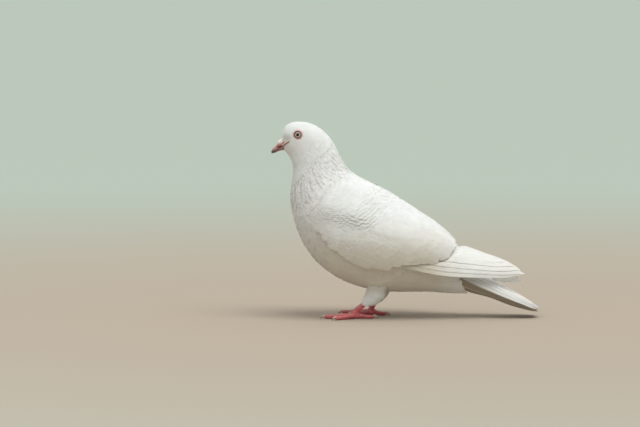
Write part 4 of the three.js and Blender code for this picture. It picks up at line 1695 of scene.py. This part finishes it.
@dataclass
class Primaries:
    """The primaries of one folded wing: long feathers whose lower edges show as parallel lines.

    For each feather, tips says how far back it ends and edges how high its lower edge lies on the
    wing, in millimetres.  Steps say how much its edge stands out and how dark the painted shadow
    along it is, and rises how high it lies.
    """

    side: Side
    tips: tuple = (120.5, 123.5, 119.0, 112.0, 104.0, 95.0, 86.0, 77.0)
    edges: tuple = (0.0, 4.7, 9.5, 15.3, 19.5, 24.5, 28.5, 31.5)
    steps: tuple = (1.3, 1.3, 1.0, 0.45, 0.12, 0.05, 0.05, 0.05)
    rises: tuple = (0.0, 0.16, 0.32, 0.45, 0.52, 0.55, 0.57, 0.59)
    emerge: float = 1.2 * MM
    under_wing: Pair = (46 * MM, 60 * MM)
    sink: float = 1.3 * MM
    tuck: float = 3.5 * MM
    rows: int = 26
    columns: int = 8
    step: float = 0.34 * MM
    strip: float = 17 * MM
    point: float = 26 * MM
    shaft: float = 0.24
    narrow_from: float = 55 * MM
    full_depth: float = 36 * MM
    tucked: Pair = (52 * MM, 62 * MM)
    buffed: Pair = (70 * MM, 125 * MM)
    thick: float = 0.24 * MM
    stations: int = 90
    bands: int = 24

    def sheet(self) -> Form:
        """Reads the outer face of the folded flight feathers off their solid.

        Returns:
            The sheet, along from the wrist to the tip and across from its lower edge in
            steps of real height.
        """
        node = f"primaries_{self.side.label}"
        corners, _ = triangles([node])
        low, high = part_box(node)
        self.x_low, self.x_high = low.x + 0.8 * MM, high.x - 0.6 * MM
        xs = np.linspace(self.x_low, self.x_high, self.stations)
        heights = np.linspace(0, 1, self.bands)
        outer, base, top = [], [], []
        for x in xs:
            cut = section(corners, x)
            z_low, z_high = cut[:, 1].min(), cut[:, 1].max()
            z = z_low + (z_high - z_low) * heights
            near = np.abs(cut[:, 1][None] - z[:, None]) < max(0.14 * (z_high - z_low), 0.8 * MM)
            reach = np.where(near, cut[:, 0][None] * self.side.value, -np.inf).max(1)
            outer.append(reach)
            base.append(z_low)
            top.append(z_high)
        base, top = blur(np.array(base), 1.5, 0), blur(np.array(top), 1.5, 0)
        self.base, self.tops = base, top
        reach = soften(np.array(outer), 3, 2.2, False)
        z = base[:, None] + (top - base)[:, None] * heights
        points = np.stack([np.repeat(xs[:, None], self.bands, 1), reach * self.side.value, z], -1)
        outward = np.zeros_like(points)
        outward[..., 1] = self.side.value
        return Form(points, False, outward)

    def build(self, material: Material) -> None:
        """Makes the feathers, the innermost on top, and dresses them.

        Args:
            material: Their finish.
        """
        form = self.sheet()
        draws = np.random.default_rng(70 + self.side.value)
        bunch = Bunch()
        knots = np.linspace(0, 1, self.stations)
        for number, (tip, edge) in enumerate(zip(self.tips, self.edges)):
            u = np.sin(np.linspace(0, 1, self.rows) * math.pi / 2)
            shows = self.tops - self.base - edge * MM > self.emerge
            start = self.x_low + (self.x_high - self.x_low) * knots[np.argmax(shows)]
            x = start + (tip * MM - start) * u
            share = (x - self.x_low) / (self.x_high - self.x_low)
            base = np.interp(share, knots, self.base)
            top = np.interp(share, knots, self.tops)
            depth = np.maximum(top - base, 1.2 * MM)
            full = np.clip(depth / self.full_depth, 0.0, 1.0) ** 0.6
            lower = edge * MM * np.where(x > self.narrow_from, full, 1.0)
            lower = np.minimum(lower, depth - 1.5 * MM)
            upper = np.minimum(lower + self.strip, depth)
            left = np.clip((tip * MM - x) / self.point, 0, 1)
            closing = 1 - np.sqrt(np.clip(1 - (1 - left) ** 2.2, 0, 1))
            goal = np.maximum(upper - 1.2 * MM, lower) if number >= 2 else lower + 0.45 * (upper - lower)
            lower = lower + (goal - lower) * closing
            upper = upper + (goal - upper) * closing * (0.5 if number >= 2 else 1)
            upper = np.maximum(upper, lower + 0.25 * MM)
            across = np.linspace(0, 1, self.columns) ** 1.15
            y = lower[:, None] + (upper - lower)[:, None] * across
            t = y / depth[:, None]
            wide = (across - self.shaft) * (upper - lower)[:, None]
            fall = 0.9 * self.step * self.steps[number]
            height = self.rises[number] * MM - fall * np.minimum((y - lower[:, None]) / (5 * MM), 2.2)
            ridge = 0.22 * MM * np.exp(-((wide / (0.6 * MM)) ** 2)) * (1 - u[:, None] ** 2)
            height = height + ridge - self.sink * (1 - ease(x, *self.under_wing))[:, None]
            height = height - self.tuck * ease(t, 0.7, 1.0) * (1 - ease(x, *self.tucked))[:, None]
            path = np.stack([np.repeat(share[:, None], self.columns, 1), t], -1)
            patch = (number / len(self.tips) + 0.004, (number + 1) / len(self.tips) - 0.004)
            # A faint buff tone towards the tip, and painted shadow along the feather's lower edge, darker
            # where that edge stands out more.
            buff = np.repeat((ease(x, *self.buffed) * 0.2)[:, None], self.columns, 1)
            buff = buff + 0.13 * self.steps[number] * np.exp(-across * 14)[None]
            tone = float(draws.uniform(0, 0.6))
            add_quill(bunch, form, path, height, wide, buff, self.thick, tone, patch)
        piece = bunch.piece(f"quills_primary_{self.side.label}")
        finish_piece(piece, material, [f"primaries_{self.side.label}"])


@dataclass
class Tail:
    """The closed tail: twelve feathers, the middle pair on top and the outer pair lowest."""

    pairs: int = 6
    edges: tuple = (0.26, 0.46, 0.64, 0.8, 0.92, 1.0)
    drops: tuple = (0.0, 0.05, 0.1, 0.17, 0.45, 0.78)
    louvers: tuple = (0.05, 0.05, 0.08, 0.2, 0.45, 0.4)
    stations: int = 90
    bands: int = 40
    rows: int = 24
    columns: int = 8

    def sheets(self) -> tuple[Form, Form]:
        """Reads the upper and the under face of the tail off its solid.

        Returns:
            The two sheets, along from the root to the tip and across from right to left.
        """
        corners, _ = triangles(["tail"])
        tree = ray_tree(corners)
        low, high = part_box("tail")
        x_low, x_high = low.x + 0.8 * MM, high.x - 0.5 * MM
        xs = np.linspace(x_low, x_high, self.stations)
        share = np.linspace(-1, 1, self.bands)
        table = np.zeros((2, self.stations, self.bands))
        halves, rims = np.zeros(self.stations), np.zeros(self.stations)
        for i, x in enumerate(xs):
            cut = section(corners, x)
            halves[i] = np.abs(cut[:, 0]).max()
            rims[i] = cut[np.abs(cut[:, 0]) > 0.96 * halves[i]][:, 1].mean()
            for k, sign in enumerate((1, -1)):
                for j, y in enumerate(share * halves[i] * 0.98):
                    start = Vector((x, y, rims[i] + sign * 60 * MM))
                    place = tree.ray_cast(start, Vector((0, 0, -sign)))[0]
                    table[k, i, j] = place.z if place else rims[i]
        self.halves = blur(halves, 1.2, 0)
        rim = blur(rims, 2, 0)[:, None]
        forms = []
        for heights, sign in zip(table, (1, -1)):
            z = soften(heights, 2.0, 1.2, False)
            z[:, [0, -1]] = rim
            y = share[None] * self.halves[:, None]
            points = np.stack([np.repeat(xs[:, None], self.bands, 1), y, z], -1)
            outward = np.zeros_like(points)
            outward[..., 2] = sign
            forms.append(Form(points, False, outward))
        return forms[0], forms[1]

    def build(self, material: Material) -> None:
        """Makes the upper and the under layer of feathers and dresses them.

        Args:
            material: Their finish.
        """
        top, bottom = self.sheets()
        draws = np.random.default_rng(90)
        bunch = Bunch()
        total = 2 * self.pairs + 4
        strip = 0
        for layer, form in enumerate((top, bottom)):
            count = self.pairs if layer == 0 else 2
            for side in Side:
                for number in range(count):
                    outer = self.edges[number] if layer == 0 else (1.0, 0.55)[number]
                    inner = max(outer - (0.5 if layer == 0 else 0.8), -0.08)
                    tip = 1.0 - 0.006 * abs(number - 1) if layer == 0 else 1.0 - 0.02 * number
                    u = np.sin(np.linspace(0, 1, self.rows) * math.pi / 2) ** 1.1
                    s = u * tip
                    left = np.clip((1 - u) * 10, 0, 1)
                    closing = (1 - np.sqrt(1 - (1 - left) ** 2)) * 0.75
                    middle = outer * 0.62 + inner * 0.38
                    low = outer + (middle - outer) * closing
                    high = inner + (middle - inner) * closing
                    across = np.linspace(0, 1, self.columns) ** 1.1
                    spread = low[:, None] + (high - low)[:, None] * across
                    t = 0.5 + 0.5 * spread * side.value
                    half = np.interp(s, np.linspace(0, 1, self.stations), self.halves)
                    wide = (across - 0.25) * ((low - high) * half)[:, None]
                    louver = MM * np.clip((outer - spread) * 6, 0, 2.0)
                    if layer == 0:
                        height = (0.6 - self.drops[number]) * MM - louver * self.louvers[number]
                    else:
                        height = 0.3 * (1 - number) * MM - louver * 0.17
                    ridge = 0.2 * MM * np.exp(-((wide / (0.6 * MM)) ** 2)) * (1 - u[:, None] ** 2)
                    path = np.stack([np.repeat(s[:, None], self.columns, 1), t], -1)
                    patch = (strip / total + 0.003, (strip + 1) / total - 0.003)
                    # Painted shade all over the under layer, painted shadow lines along the edges of the
                    # outer upper feathers, and a faint buff tone on the rest of the top.
                    buff = np.full((self.rows, self.columns), 0.06 if layer == 0 else 1.2)
                    buff = buff + (0.5 * np.exp(-across * 12))[None] * (layer == 0 and number > 3)
                    tone = float(draws.uniform(0, 0.6))
                    add_quill(bunch, form, path, height + ridge, wide, buff, 0.3 * MM, tone, patch)
                    strip += 1
        finish_piece(bunch.piece("quills_tail"), material, ["tail"])


# ---- Skin, legs and feet ----


@dataclass
class Skin:
    """One skin over head, neck, trunk, wings, legs and toes, deeper than the feathers by the coat."""

    coat: float = 1.15 * MM
    head_coat: float = 0.55 * MM
    body_voxel: float = 1.5 * MM
    foot_voxel: float = 0.42 * MM
    scute: float = 1.55 * MM
    tail_root: float = 82 * MM
    leg_x: float = -32 * MM
    leg_reach: float = 24 * MM

    def build(self, material: Material, eye: Array) -> None:
        """Makes the skin, sinks it under the feathers, and cuts the scutes of the feet.

        Args:
            material: The skin's finish.
            eye: The front of the right eye.
        """
        feathered = [*FLESH, *side_nodes("wing_coverts", "secondaries", "leg")]
        bare = side_nodes("shank", *[f"toe_{toe}" for toe in TOES])
        body = refined([*feathered, "tail"], "skin", self.body_voxel, 4, self.tail_root)
        points = positions(body)
        near_leg = np.abs(points[:, 0] - self.leg_x) < self.leg_reach
        points[near_leg] = settled(points[near_leg], ray_tree(triangles(["trunk"])[0]))
        place_points(body, points)
        away = norm(points * [1, 0, 1] - eye * [1, 0, 1], axis=1)
        depth = self.head_coat + (self.coat - self.head_coat) * ease(away, 22 * MM, 45 * MM)
        place_points(body, points - vertex_normals(body) * depth[:, None])
        apply(body, "SMOOTH", factor=0.5, iterations=6)
        feet = refined(bare, "feet", self.foot_voxel, 5)
        self.cut_scutes(feet)
        set_value(body, "bare", np.zeros(len(body.data.vertices)))
        set_value(body, "plate", np.ones(len(body.data.vertices)))
        smooth_shade(join([body, feet]))
        finish_piece(body, material, [*feathered, *bare])

    def cut_scutes(self, feet: Piece) -> None:
        """Raises the scutes across the toes and down the shanks, and marks their pale rims.

        Args:
            feet: The smooth piece that they are cut in.
        """
        points, normals = positions(feet), vertex_normals(feet)
        height = np.zeros(len(points))
        plate = np.ones(len(points))
        closest = np.full(len(points), np.inf)
        for side in Side:
            for part in ("shank", *[f"toe_{toe}" for toe in TOES]):
                corners, _ = triangles([f"{part}_{side.label}"])
                cloud = corners.reshape(-1, 3)
                middle = cloud.mean(0)
                axis = np.linalg.svd(cloud - middle, full_matrices=False)[2][0]
                near = KDTree(len(cloud))
                for index, point in enumerate(cloud):
                    near.insert(point, index)
                near.balance()
                box_low, box_high = cloud.min(0) - 1.2 * MM, cloud.max(0) + 1.2 * MM
                for index in np.flatnonzero(((points > box_low) & (points < box_high)).all(1)):
                    distance = near.find(points[index])[2]
                    if distance >= closest[index]:
                        continue
                    closest[index] = distance
                    along = float(np.dot(points[index] - middle, axis))
                    phase = (along / self.scute) % 1.0
                    rim = min(phase, 1 - phase) * 2
                    upper = ease(normals[index][2] if part != "shank" else -normals[index][0], -0.1, 0.45)
                    plate[index] = 1 - upper * (1 - ease(np.array(rim), 0.08, 0.42))
                    height[index] = upper * (ease(np.array(rim), 0.0, 0.5) - 0.6) * 0.3 * MM
        place_points(feet, points + normals * height[:, None])
        set_value(feet, "bare", np.ones(len(points)))
        set_value(feet, "plate", plate)


@dataclass
class Trousers:
    """The short feathers of one leg, from inside the belly down to the fringe over the bare shank.

    The fringe ends at the hem, and the front of the thigh stands out by the fullness.
    """

    side: Side
    order: int
    stations: int = 40
    spokes: int = 48
    reach: float = 24 * MM
    top: float = 36 * MM
    hem: float = 12.4 * MM
    fullness: float = 2.2 * MM
    vane: Vane = Vane(4, 2, 0.5, 0.5, 0.6, 0.12)

    def form(self) -> Form:
        """Reads the leg's outline off its solid, from inside the belly down to the shank."""
        node = f"leg_{self.side.label}"
        corners, _ = triangles([node])
        tree = ray_tree(corners)
        cloud = corners.reshape(-1, 3)
        low = cloud[cloud[:, 2] < cloud[:, 2].min() + 3 * MM].mean(0)
        high = cloud[cloud[:, 2] > cloud[:, 2].max() - 4 * MM].mean(0)
        heading = unit(low - high)
        high = high - heading * 9 * MM
        side = unit(np.cross(heading, [1.0, 0, 0]))
        front = np.cross(side, heading)
        share = np.linspace(0, 1, self.stations)[:, None]
        centres = high + (low - heading * 1.0 * MM - high) * share
        turn = 2 * np.pi * np.arange(self.spokes) / self.spokes
        spokes = np.cos(turn)[:, None] * front + np.sin(turn)[:, None] * side
        radius = np.full((self.stations, self.spokes), np.nan)
        for i, centre in enumerate(centres):
            for j, spoke in enumerate(spokes):
                start = Vector(centre + spoke * self.reach)
                distance = tree.ray_cast(start, Vector(-spoke), self.reach)[3]
                if distance is not None:
                    radius[i, j] = self.reach - distance
        widest = 1.12 * np.nanmax(radius)
        for i in range(self.stations - 6, -1, -1):
            grown = np.minimum(1.25 * radius[i + 1] - 0.25 * radius[i + 5], widest)
            radius[i] = np.where(np.isnan(radius[i]), grown, radius[i])
        for i in range(self.stations // 2, -1, -1):
            radius[i] = np.fmax(radius[i], radius[i + 1])
        for i in range(1, self.stations):
            radius[i] = np.where(np.isnan(radius[i]), radius[i - 1], radius[i])
        radius = np.where(np.isnan(radius), 6 * MM, radius)
        radius = soften(radius, 1.5, 2)
        height = centres[:, 2, None]
        full = ease(height, 13 * MM, 21 * MM) * (1 - ease(height, 27 * MM, 32 * MM))
        radius = radius + self.fullness * full * np.clip(np.cos(turn), 0, 1)
        points = centres[:, None] + spokes[None] * radius[..., None]
        points = settled(points.reshape(-1, 3), ray_tree(triangles(["trunk"])[0])).reshape(points.shape)
        return Form(points, True, np.broadcast_to(spokes[None], points.shape))

    def build(self, material: Material) -> None:
        """Grows the feathers of the leg and dresses them.

        Args:
            material: Their finish.
        """
        form = self.form()
        draws = np.random.default_rng(110 + self.order)
        rows = []
        s = 0.04
        while s < 0.93:
            pitch = (2.6 - 0.7 * s) * MM
            ring = form.at(np.full(self.spokes, s), np.arange(self.spokes) / self.spokes)
            number = max(6, int(gaps(ring).sum() / pitch))
            t = (np.arange(number) + 0.5 * (len(rows) % 2) + draws.normal(0, 0.15, number)) / number
            step = 0.8 * pitch / norm(form.along, axis=2).mean()
            rows.append(np.stack([s + draws.normal(0, 0.2, number) * step, t], 1))
            s += step
        s, t = np.concatenate(rows).T
        height = form.at(s, t)[:, 2]
        kept = (height < self.top) & (height > self.hem + 3.2 * MM)
        s, t, height = s[kept], t[kept], height[kept]
        number = len(s)
        fall = np.maximum(-unit(form.read(form.along, s, t))[:, 2], 0.3)
        length = np.minimum((9 - 4.5 * s) * MM, (height - self.hem) / fall)
        length = length * draws.normal(1, 0.08, number)
        tuck = 0.8 * MM * ease(height, 30 * MM, 35 * MM)
        bake = np.stack([0.90 + 0.09 * s, 0.05 + 0.4 * self.order + 0.3 * (t % 1)], -1)
        lay = Lay(
            s, t, form.read(form.along, s, t), length,
            (4.4 - 1.2 * s) * MM, draws.normal(0, 0.03, number) * MM - tuck, (0.42 - 0.1 * s) * MM,
            np.full(number, 0.16 * MM), draws.uniform(0, 1, number) ** 2, bake,
            curl=draws.uniform(0, 0.08, number) * MM, twist=draws.normal(0, 0.04, number) * MM,
            ragged=0.3,
        )
        bunch = grow(form, lay, self.vane, draws)
        finish_piece(bunch.piece(f"plumage_leg_{self.side.label}"), material)


@dataclass
class Claws:
    """The four claws of one foot."""

    side: Side

    def build(self, material: Material) -> None:
        """Makes the claws fine and smooth and dresses them."""
        nodes = [f"claw_{toe}_{self.side.label}" for toe in TOES]
        piece = refined(nodes, f"talons_{self.side.label}", 0.2 * MM, 3)
        finish_piece(piece, material, nodes)


# ---- Head ----


@dataclass
class Eye:
    """One eye: the ball with its iris, and the beaded ring of the lids."""

    side: Side
    body: BodyForm
    iris: float = 2.9 * MM
    pupil: float = 1.7 * MM
    lid: float = 4.45 * MM
    flange: float = 0.3

    def measure(self) -> tuple[Array, Array, float]:
        """Returns the middle of the eyeball, the way it looks, and its radius."""
        low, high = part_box(f"eye_{self.side.label}")
        centre = np.array((low + high) / 2)
        radius = (high.z - low.z) / 2
        form = self.body.form
        away = norm(form.points - (centre + [0, self.side.value * radius, 0]), axis=2)
        i, j = np.unravel_index(away.argmin(), away.shape)
        look = unit(form.normals[i, j] + np.array([-0.12, 0.0, -0.05]))
        return centre, look, radius

    def ball(self, material: Material) -> None:
        """Makes the eyeball and dresses it.

        Args:
            material: Its finish.
        """
        centre, _, radius = self.measure()
        deselect_all()
        bpy.ops.mesh.primitive_uv_sphere_add(
            segments=48, ring_count=32, radius=radius * 0.97, location=centre
        )
        piece = bpy.context.object
        piece.name = f"eyeball_{self.side.label}"
        bpy.ops.object.transform_apply(location=True, rotation=True, scale=True)
        smooth_shade(piece)
        finish_piece(piece, material, [f"eye_{self.side.label}"])

    def lids(self, material: Material) -> None:
        """Makes the ring of the lids, slightly pointed in front and behind.

        Args:
            material: Its finish.
        """
        centre, look, radius = self.measure()
        rise = math.sqrt(max(radius**2 - self.iris**2, 0)) * 0.985
        middle = centre + look * rise
        tube = (self.lid - self.iris) / 2
        turn = Vector(look).to_track_quat("Z", "Y").to_euler()
        deselect_all()
        bpy.ops.mesh.primitive_torus_add(
            location=middle, rotation=turn, major_radius=self.iris + tube, minor_radius=tube,
            major_segments=64, minor_segments=20,
        )
        piece = bpy.context.object
        piece.name = f"lids_{self.side.label}"
        bpy.ops.object.transform_apply(location=True, rotation=True, scale=True)
        points = positions(piece)
        out = points - middle
        depth = dot(out, look[None])
        flat = out - depth[:, None] * look
        ring = norm(flat, axis=1)
        drop = np.clip((ring - self.iris - tube) / tube, 0, 1)
        swell = 1 + 0.05 * (flat[:, 0] / ring) ** 2 + self.flange * ease(drop, 0.45, 1.0)
        depth = depth * 0.62 - 0.35 * MM * drop**2 - 0.75 * MM * ease(drop, 0.5, 1.0)
        place_points(piece, middle + flat * swell[:, None] + depth[:, None] * look)
        smooth_shade(piece)
        finish_piece(piece, material)


@dataclass
class Bill:
    """The bill in two halves, with the slit nostrils, and the cere over them.

    The slit and the line where the halves meet are given in millimetres of X and Z.
    """

    slit: tuple = ((-133.6, 177.2), (-130.5, 178.1), (-126.6, 179.7))
    edge: tuple = ((-138.6, 171.6), (-134.6, 174.7), (-131.3, 176.8), (-126.9, 179.3))
    slit_depth: float = 0.55 * MM
    edge_depth: float = 0.18 * MM
    swell: float = 0.16 * MM
    closing: float = 0.34 * MM
    voxel: float = 0.22 * MM

    def near_line(self, line: tuple, points: Array, full: float, none: float) -> Array:
        """Returns how close points lie to a line on the side of the bill, from 0 to 1.

        Args:
            line: The line's corners.
            points: The points.
            full: How near, in metres, counts as 1.
            none: How near counts as 0.

        Returns:
            One number for each point.
        """
        away = np.full(len(points), np.inf)
        flat = points[:, [0, 2]]
        for start, end in zip(np.array(line[:-1]) * MM, np.array(line[1:]) * MM):
            along = end - start
            share = np.clip(((flat - start) @ along) / (along @ along), 0, 1)
            away = np.minimum(away, norm(flat - start - share[:, None] * along, axis=1))
        return 1 - ease(away, full, none)

    def build(self, material: Material, cere: Material) -> None:
        """Makes the two halves and the cere.

        Args:
            material: The horn's finish.
            cere: The cere's finish.
        """
        for half in ("bill_upper", "bill_lower"):
            piece = refined([half], half.replace("bill", "horn"), self.voxel, 4)
            points, normals = positions(piece), vertex_normals(piece)
            sideways = ease(np.abs(normals[:, 1]), 0.2, 0.6)
            slit = self.near_line(self.slit, points, 0.45 * MM, 1.15 * MM) * sideways
            slit = slit * (half == "bill_upper")
            edge = self.near_line(self.edge, points, 0.1 * MM, 0.4 * MM)
            depth = self.swell - slit * self.slit_depth - edge * self.edge_depth
            points = points + normals * depth[:, None]
            if half == "bill_lower":
                points[:, 2] += self.closing * ease(-points[:, 0], 126 * MM, 135 * MM)
            place_points(piece, points)
            set_value(piece, "edge", edge)
            set_value(piece, "slit", slit)
            # Marks the lower half, which the finish darkens as painted shade.
            set_value(piece, "low", np.full(len(points), 1.0 if half == "bill_lower" else 0.0))
            finish_piece(piece, material, [half])
        piece = refined(["cere"], "cere_lobes", self.voxel, 4)
        finish_piece(piece, cere, ["cere"])


@dataclass
class Gape:
    """The lips that run on from the bill to the corner of the mouth, on one side of the face."""

    side: Side
    body: BodyForm
    line: tuple = ((-128.4, 178.3), (-126.0, 179.7), (-123.4, 181.7), (-120.6, 183.5))
    width: float = 3.4 * MM
    lip: float = 0.34 * MM
    sink: float = 0.9 * MM
    thick: float = 1.2 * MM
    rows: int = 24
    columns: int = 13

    def build(self, material: Material) -> None:
        """Makes the two lips as one thin closed piece and dresses it.

        Args:
            material: Its finish.
        """
        share = np.linspace(0, 1, self.rows)
        path = through(np.array(self.line) * MM, share)
        slope = unit(np.gradient(path, axis=0))
        lateral = np.stack([-slope[:, 1], slope[:, 0]], 1)
        across = np.linspace(-1, 1, self.columns)
        narrow = np.sqrt(np.clip(1 - np.clip((share - 0.75) / 0.25, 0, 1) ** 2, 0.02, 1))
        aside = 0.5 * self.width * narrow[:, None] * across
        places = path[:, None] + lateral[:, None] * aside[..., None]
        s, t = self.body.find(places[..., 0].ravel(), places[..., 1].ravel(), self.side)
        grid = np.stack([s, t], -1).reshape(self.rows, self.columns, 2)
        swell = np.exp(-(((np.abs(across) - 0.42) / 0.24) ** 2))
        groove = np.exp(-((across / 0.24) ** 2))
        height = self.lip * swell - 0.3 * MM * groove - self.sink * np.abs(across) ** 3
        points, faces = slab(self.body.form, grid, height * narrow[:, None] - 0.05 * MM, self.thick)
        piece = mesh_piece(f"lips_{self.side.label}", points, faces)
        set_value(piece, "seam", doubled(np.repeat(groove[None], self.rows, 0)))
        smooth_shade(piece)
        finish_piece(piece, material)


# ---- The whole bird and its stage ----


@dataclass
class Pigeon:
    """The whole bird, built piece by piece."""

    plumage: FeatherFinish = FeatherFinish(
        "white_plumage", roughness=0.75, sheen=0.2, specular=0.25, subsurface=0.1
    )
    # The neck's vanes carry strong painted shade along their edges, for the dark furrows between them.
    hackle: FeatherFinish = FeatherFinish(
        "neck_plumage", roughness=0.7, sheen=0.2, specular=0.25, subsurface=0.1, rim=0.45
    )
    face: FeatherFinish = FeatherFinish(
        "face_plumage", roughness=0.75, sheen=0.2, specular=0.25, subsurface=0.1,
        pitch=0.2 * MM, shaft=0.1 * MM, rim=0.0, barb_depth=0.012 * MM,
    )
    quills: FeatherFinish = FeatherFinish(
        "white_quills", roughness=0.55, sheen=0.15, specular=0.35, subsurface=0.08,
        pitch=0.7 * MM, shaft=0.6 * MM, cream=0.8, barb_depth=0.06 * MM,
    )
    skin: SkinFinish = SkinFinish("bird_skin", roughness=0.5, specular=0.4, subsurface=0.06)
    horn: BillFinish = BillFinish("bill_horn", roughness=0.38, specular=0.5, subsurface=0.05)
    cere: CereFinish = CereFinish("cere_flesh", roughness=0.7, sheen=0.2, specular=0.3, subsurface=0.1)
    lid: LidFinish = LidFinish("lid_flesh", roughness=0.5, specular=0.5)
    lips: LipFinish = LipFinish("lip_flesh", roughness=0.5, specular=0.4, subsurface=0.1)
    eye: EyeFinish = EyeFinish("wet_eye", roughness=0.35, coat=0.75, coat_roughness=0.02, specular=0.1)
    claw: ClawFinish = ClawFinish("claw_horn", roughness=0.4, specular=0.5)

    def build(self) -> None:
        """Makes every piece of the bird in order."""
        body = BodyForm()
        body.build()
        right = Eye(Side.RIGHT, body)
        centre, look, radius = right.measure()
        eye_front = centre + look * radius
        marks = Landmarks(eye_front, self.mouth(), self.lore(eye_front), self.neck())
        markings = markings_group(marks)
        barbs = barbs_group()
        plumage = self.plumage.build(markings, barbs)
        quills = self.quills.build(markings, barbs)
        Skin().build(self.skin.build(markings), eye_front)
        hackle, face = (finish.build(markings, barbs) for finish in (self.hackle, self.face))
        finishes = {"body": plumage, "neck": hackle, "head": face}
        BodyCoat(body, eye_front, right.lid + 0.3 * MM).build(finishes)
        for side in Side:
            WingCoat(body, side).build(plumage, quills)
            Primaries(side).build(quills)
        Tail().build(quills)
        for order, side in enumerate(Side):
            Trousers(side, order).build(plumage)
        claw = self.claw.build()
        for side in Side:
            Claws(side).build(claw)
        iris = self.eye.build(centre, look, right.pupil, right.iris)
        lid = self.lid.build(eye_front, right.iris, right.lid)
        lips = self.lips.build()
        for side in Side:
            eye = Eye(side, body)
            eye.ball(iris)
            eye.lids(lid)
            Gape(side, body).build(lips)
        low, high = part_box("bill_upper")
        tip = np.array([low.x, 0.0, low.z])
        cere_low, cere_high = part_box("cere")
        span = cere_high.z - cere_low.z
        cere = self.cere.build(cere_low.z + 0.15 * span, cere_low.z + 0.6 * span)
        Bill().build(self.horn.build(tip, (high.x - low.x)), cere)

    def mouth(self) -> Array:
        """Returns the corner of the mouth on the right side."""
        low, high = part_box("bill_lower")
        return np.array([high.x - 0.5 * MM, high.y, high.z - 1.0 * MM])

    def lore(self, eye: Array) -> Array:
        """Returns the middle of the lore, between the eye and the bill, on the right side."""
        low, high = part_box("cere")
        front = np.array([high.x, high.y, high.z])
        return front + (eye - front) * 0.2

    def neck(self) -> Array:
        """Returns the middle of the streaked side of the neck, on the right side."""
        low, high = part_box("neck")
        return np.array([low.x * 0.35 + high.x * 0.65, high.y * 0.8, (low.z + high.z) / 2])


@dataclass
class Studio:
    """A pale floor, soft lights, and the camera at the bird's left side."""

    target: Triple = (-0.0889, 0.0, 0.108)
    distance: float = 3.70
    azimuth: float = 0.0
    elevation: float = 4.3
    lens: float = 200.0
    floor_radius: float = 60.0
    zenith: float = 0.85
    horizon: float = 0.27

    def build(self) -> None:
        """Sets the stage."""
        self.floor()
        self.camera()
        self.sun("key", (0.5, -0.5, 1.6), 1.75, 40, (1.0, 0.985, 0.955))
        self.light("catch", (-0.9, -1.6, 1.3), 0.5, 3)
        self.sky()
        bpy.context.scene.view_settings.view_transform = "Standard"

    def floor(self) -> None:
        """Makes the floor."""
        deselect_all()
        bpy.ops.mesh.primitive_circle_add(vertices=96, radius=self.floor_radius, fill_type="NGON")
        floor = bpy.context.object
        floor.name = "studio_floor"
        floor.data.materials.append(FloorFinish("studio_floor", roughness=0.9, specular=0.1).build())

    def sky(self) -> None:
        """Lights the stage from all round, more strongly from above."""
        world = bpy.data.worlds.new("studio")
        world.use_nodes = True
        tree = Tree(world.node_tree)
        height = tree.height(tree.add("TexCoord").outputs["Generated"])
        low, high = rgba(0.93, 1.0, 0.95), rgba(1.0, 1.0, 1.0)
        color = tree.mix(tree.fade(height, 0.0, 0.6), low, high)
        strength = tree.add("MapRange", {0: height, 1: 0.0, 2: 0.8, 3: self.horizon, 4: self.zenith})
        shade = tree.add("Background", {0: color, 1: strength.outputs[0]})
        tree.add("OutputWorld", {0: shade.outputs[0]})
        bpy.context.scene.world = world

    def sun(self, name: str, toward: tuple, strength: float, spread: float, color: tuple) -> None:
        """Adds a soft far light.

        Args:
            name: The light's name.
            toward: The way from the bird to the light.
            strength: How strong it is.
            spread: How wide it looks from the bird, in degrees.
            color: Its colour.
        """
        lamp = bpy.data.lights.new(name, "SUN")
        lamp.energy, lamp.angle, lamp.color = strength, math.radians(spread), color
        self.hang(name, lamp, Vector(), -Vector(toward))

    def light(self, name: str, place: tuple, size: float, power: float) -> None:
        """Adds a soft square white light that faces the bird.

        Args:
            name: The light's name.
            place: Where it hangs, in metres.
            size: Its edge length.
            power: Its strength in watts.
        """
        lamp = bpy.data.lights.new(name, "AREA")
        lamp.size, lamp.energy = size, power
        self.hang(name, lamp, Vector(place), Vector(self.target) - Vector(place))

    def camera(self) -> None:
        """Adds the camera and makes it the scene's own."""
        lens = bpy.data.cameras.new("camera")
        lens.lens, lens.sensor_width = self.lens, 36.0
        lens.clip_end = 200
        turn, rise = math.radians(self.azimuth), math.radians(self.elevation)
        level = math.cos(rise)
        away = Vector((math.sin(turn) * level, -math.cos(turn) * level, math.sin(rise))) * self.distance
        bpy.context.scene.camera = self.hang("camera", lens, Vector(self.target) + away, -away)

    def hang(self, name: str, data: bpy.types.ID, place: Vector, way: Vector) -> Piece:
        """Hangs a light or a camera at a place.

        Args:
            name: Its object's name.
            data: The light or the camera.
            place: Where it hangs.
            way: The way that it looks.

        Returns:
            Its object.
        """
        holder = bpy.data.objects.new(name, data)
        holder.location = place
        holder.rotation_euler = way.to_track_quat("-Z", "Y").to_euler()
        bpy.context.scene.collection.objects.link(holder)
        return holder


def main() -> None:
    """Builds the bird and its stage, and logs the size of the body form and the triangles of each piece."""
    logging.basicConfig(level=logging.INFO, format="%(name)s: %(message)s")
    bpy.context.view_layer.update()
    Pigeon().build()
    Studio().build()


if __name__ == "__main__":
    main()
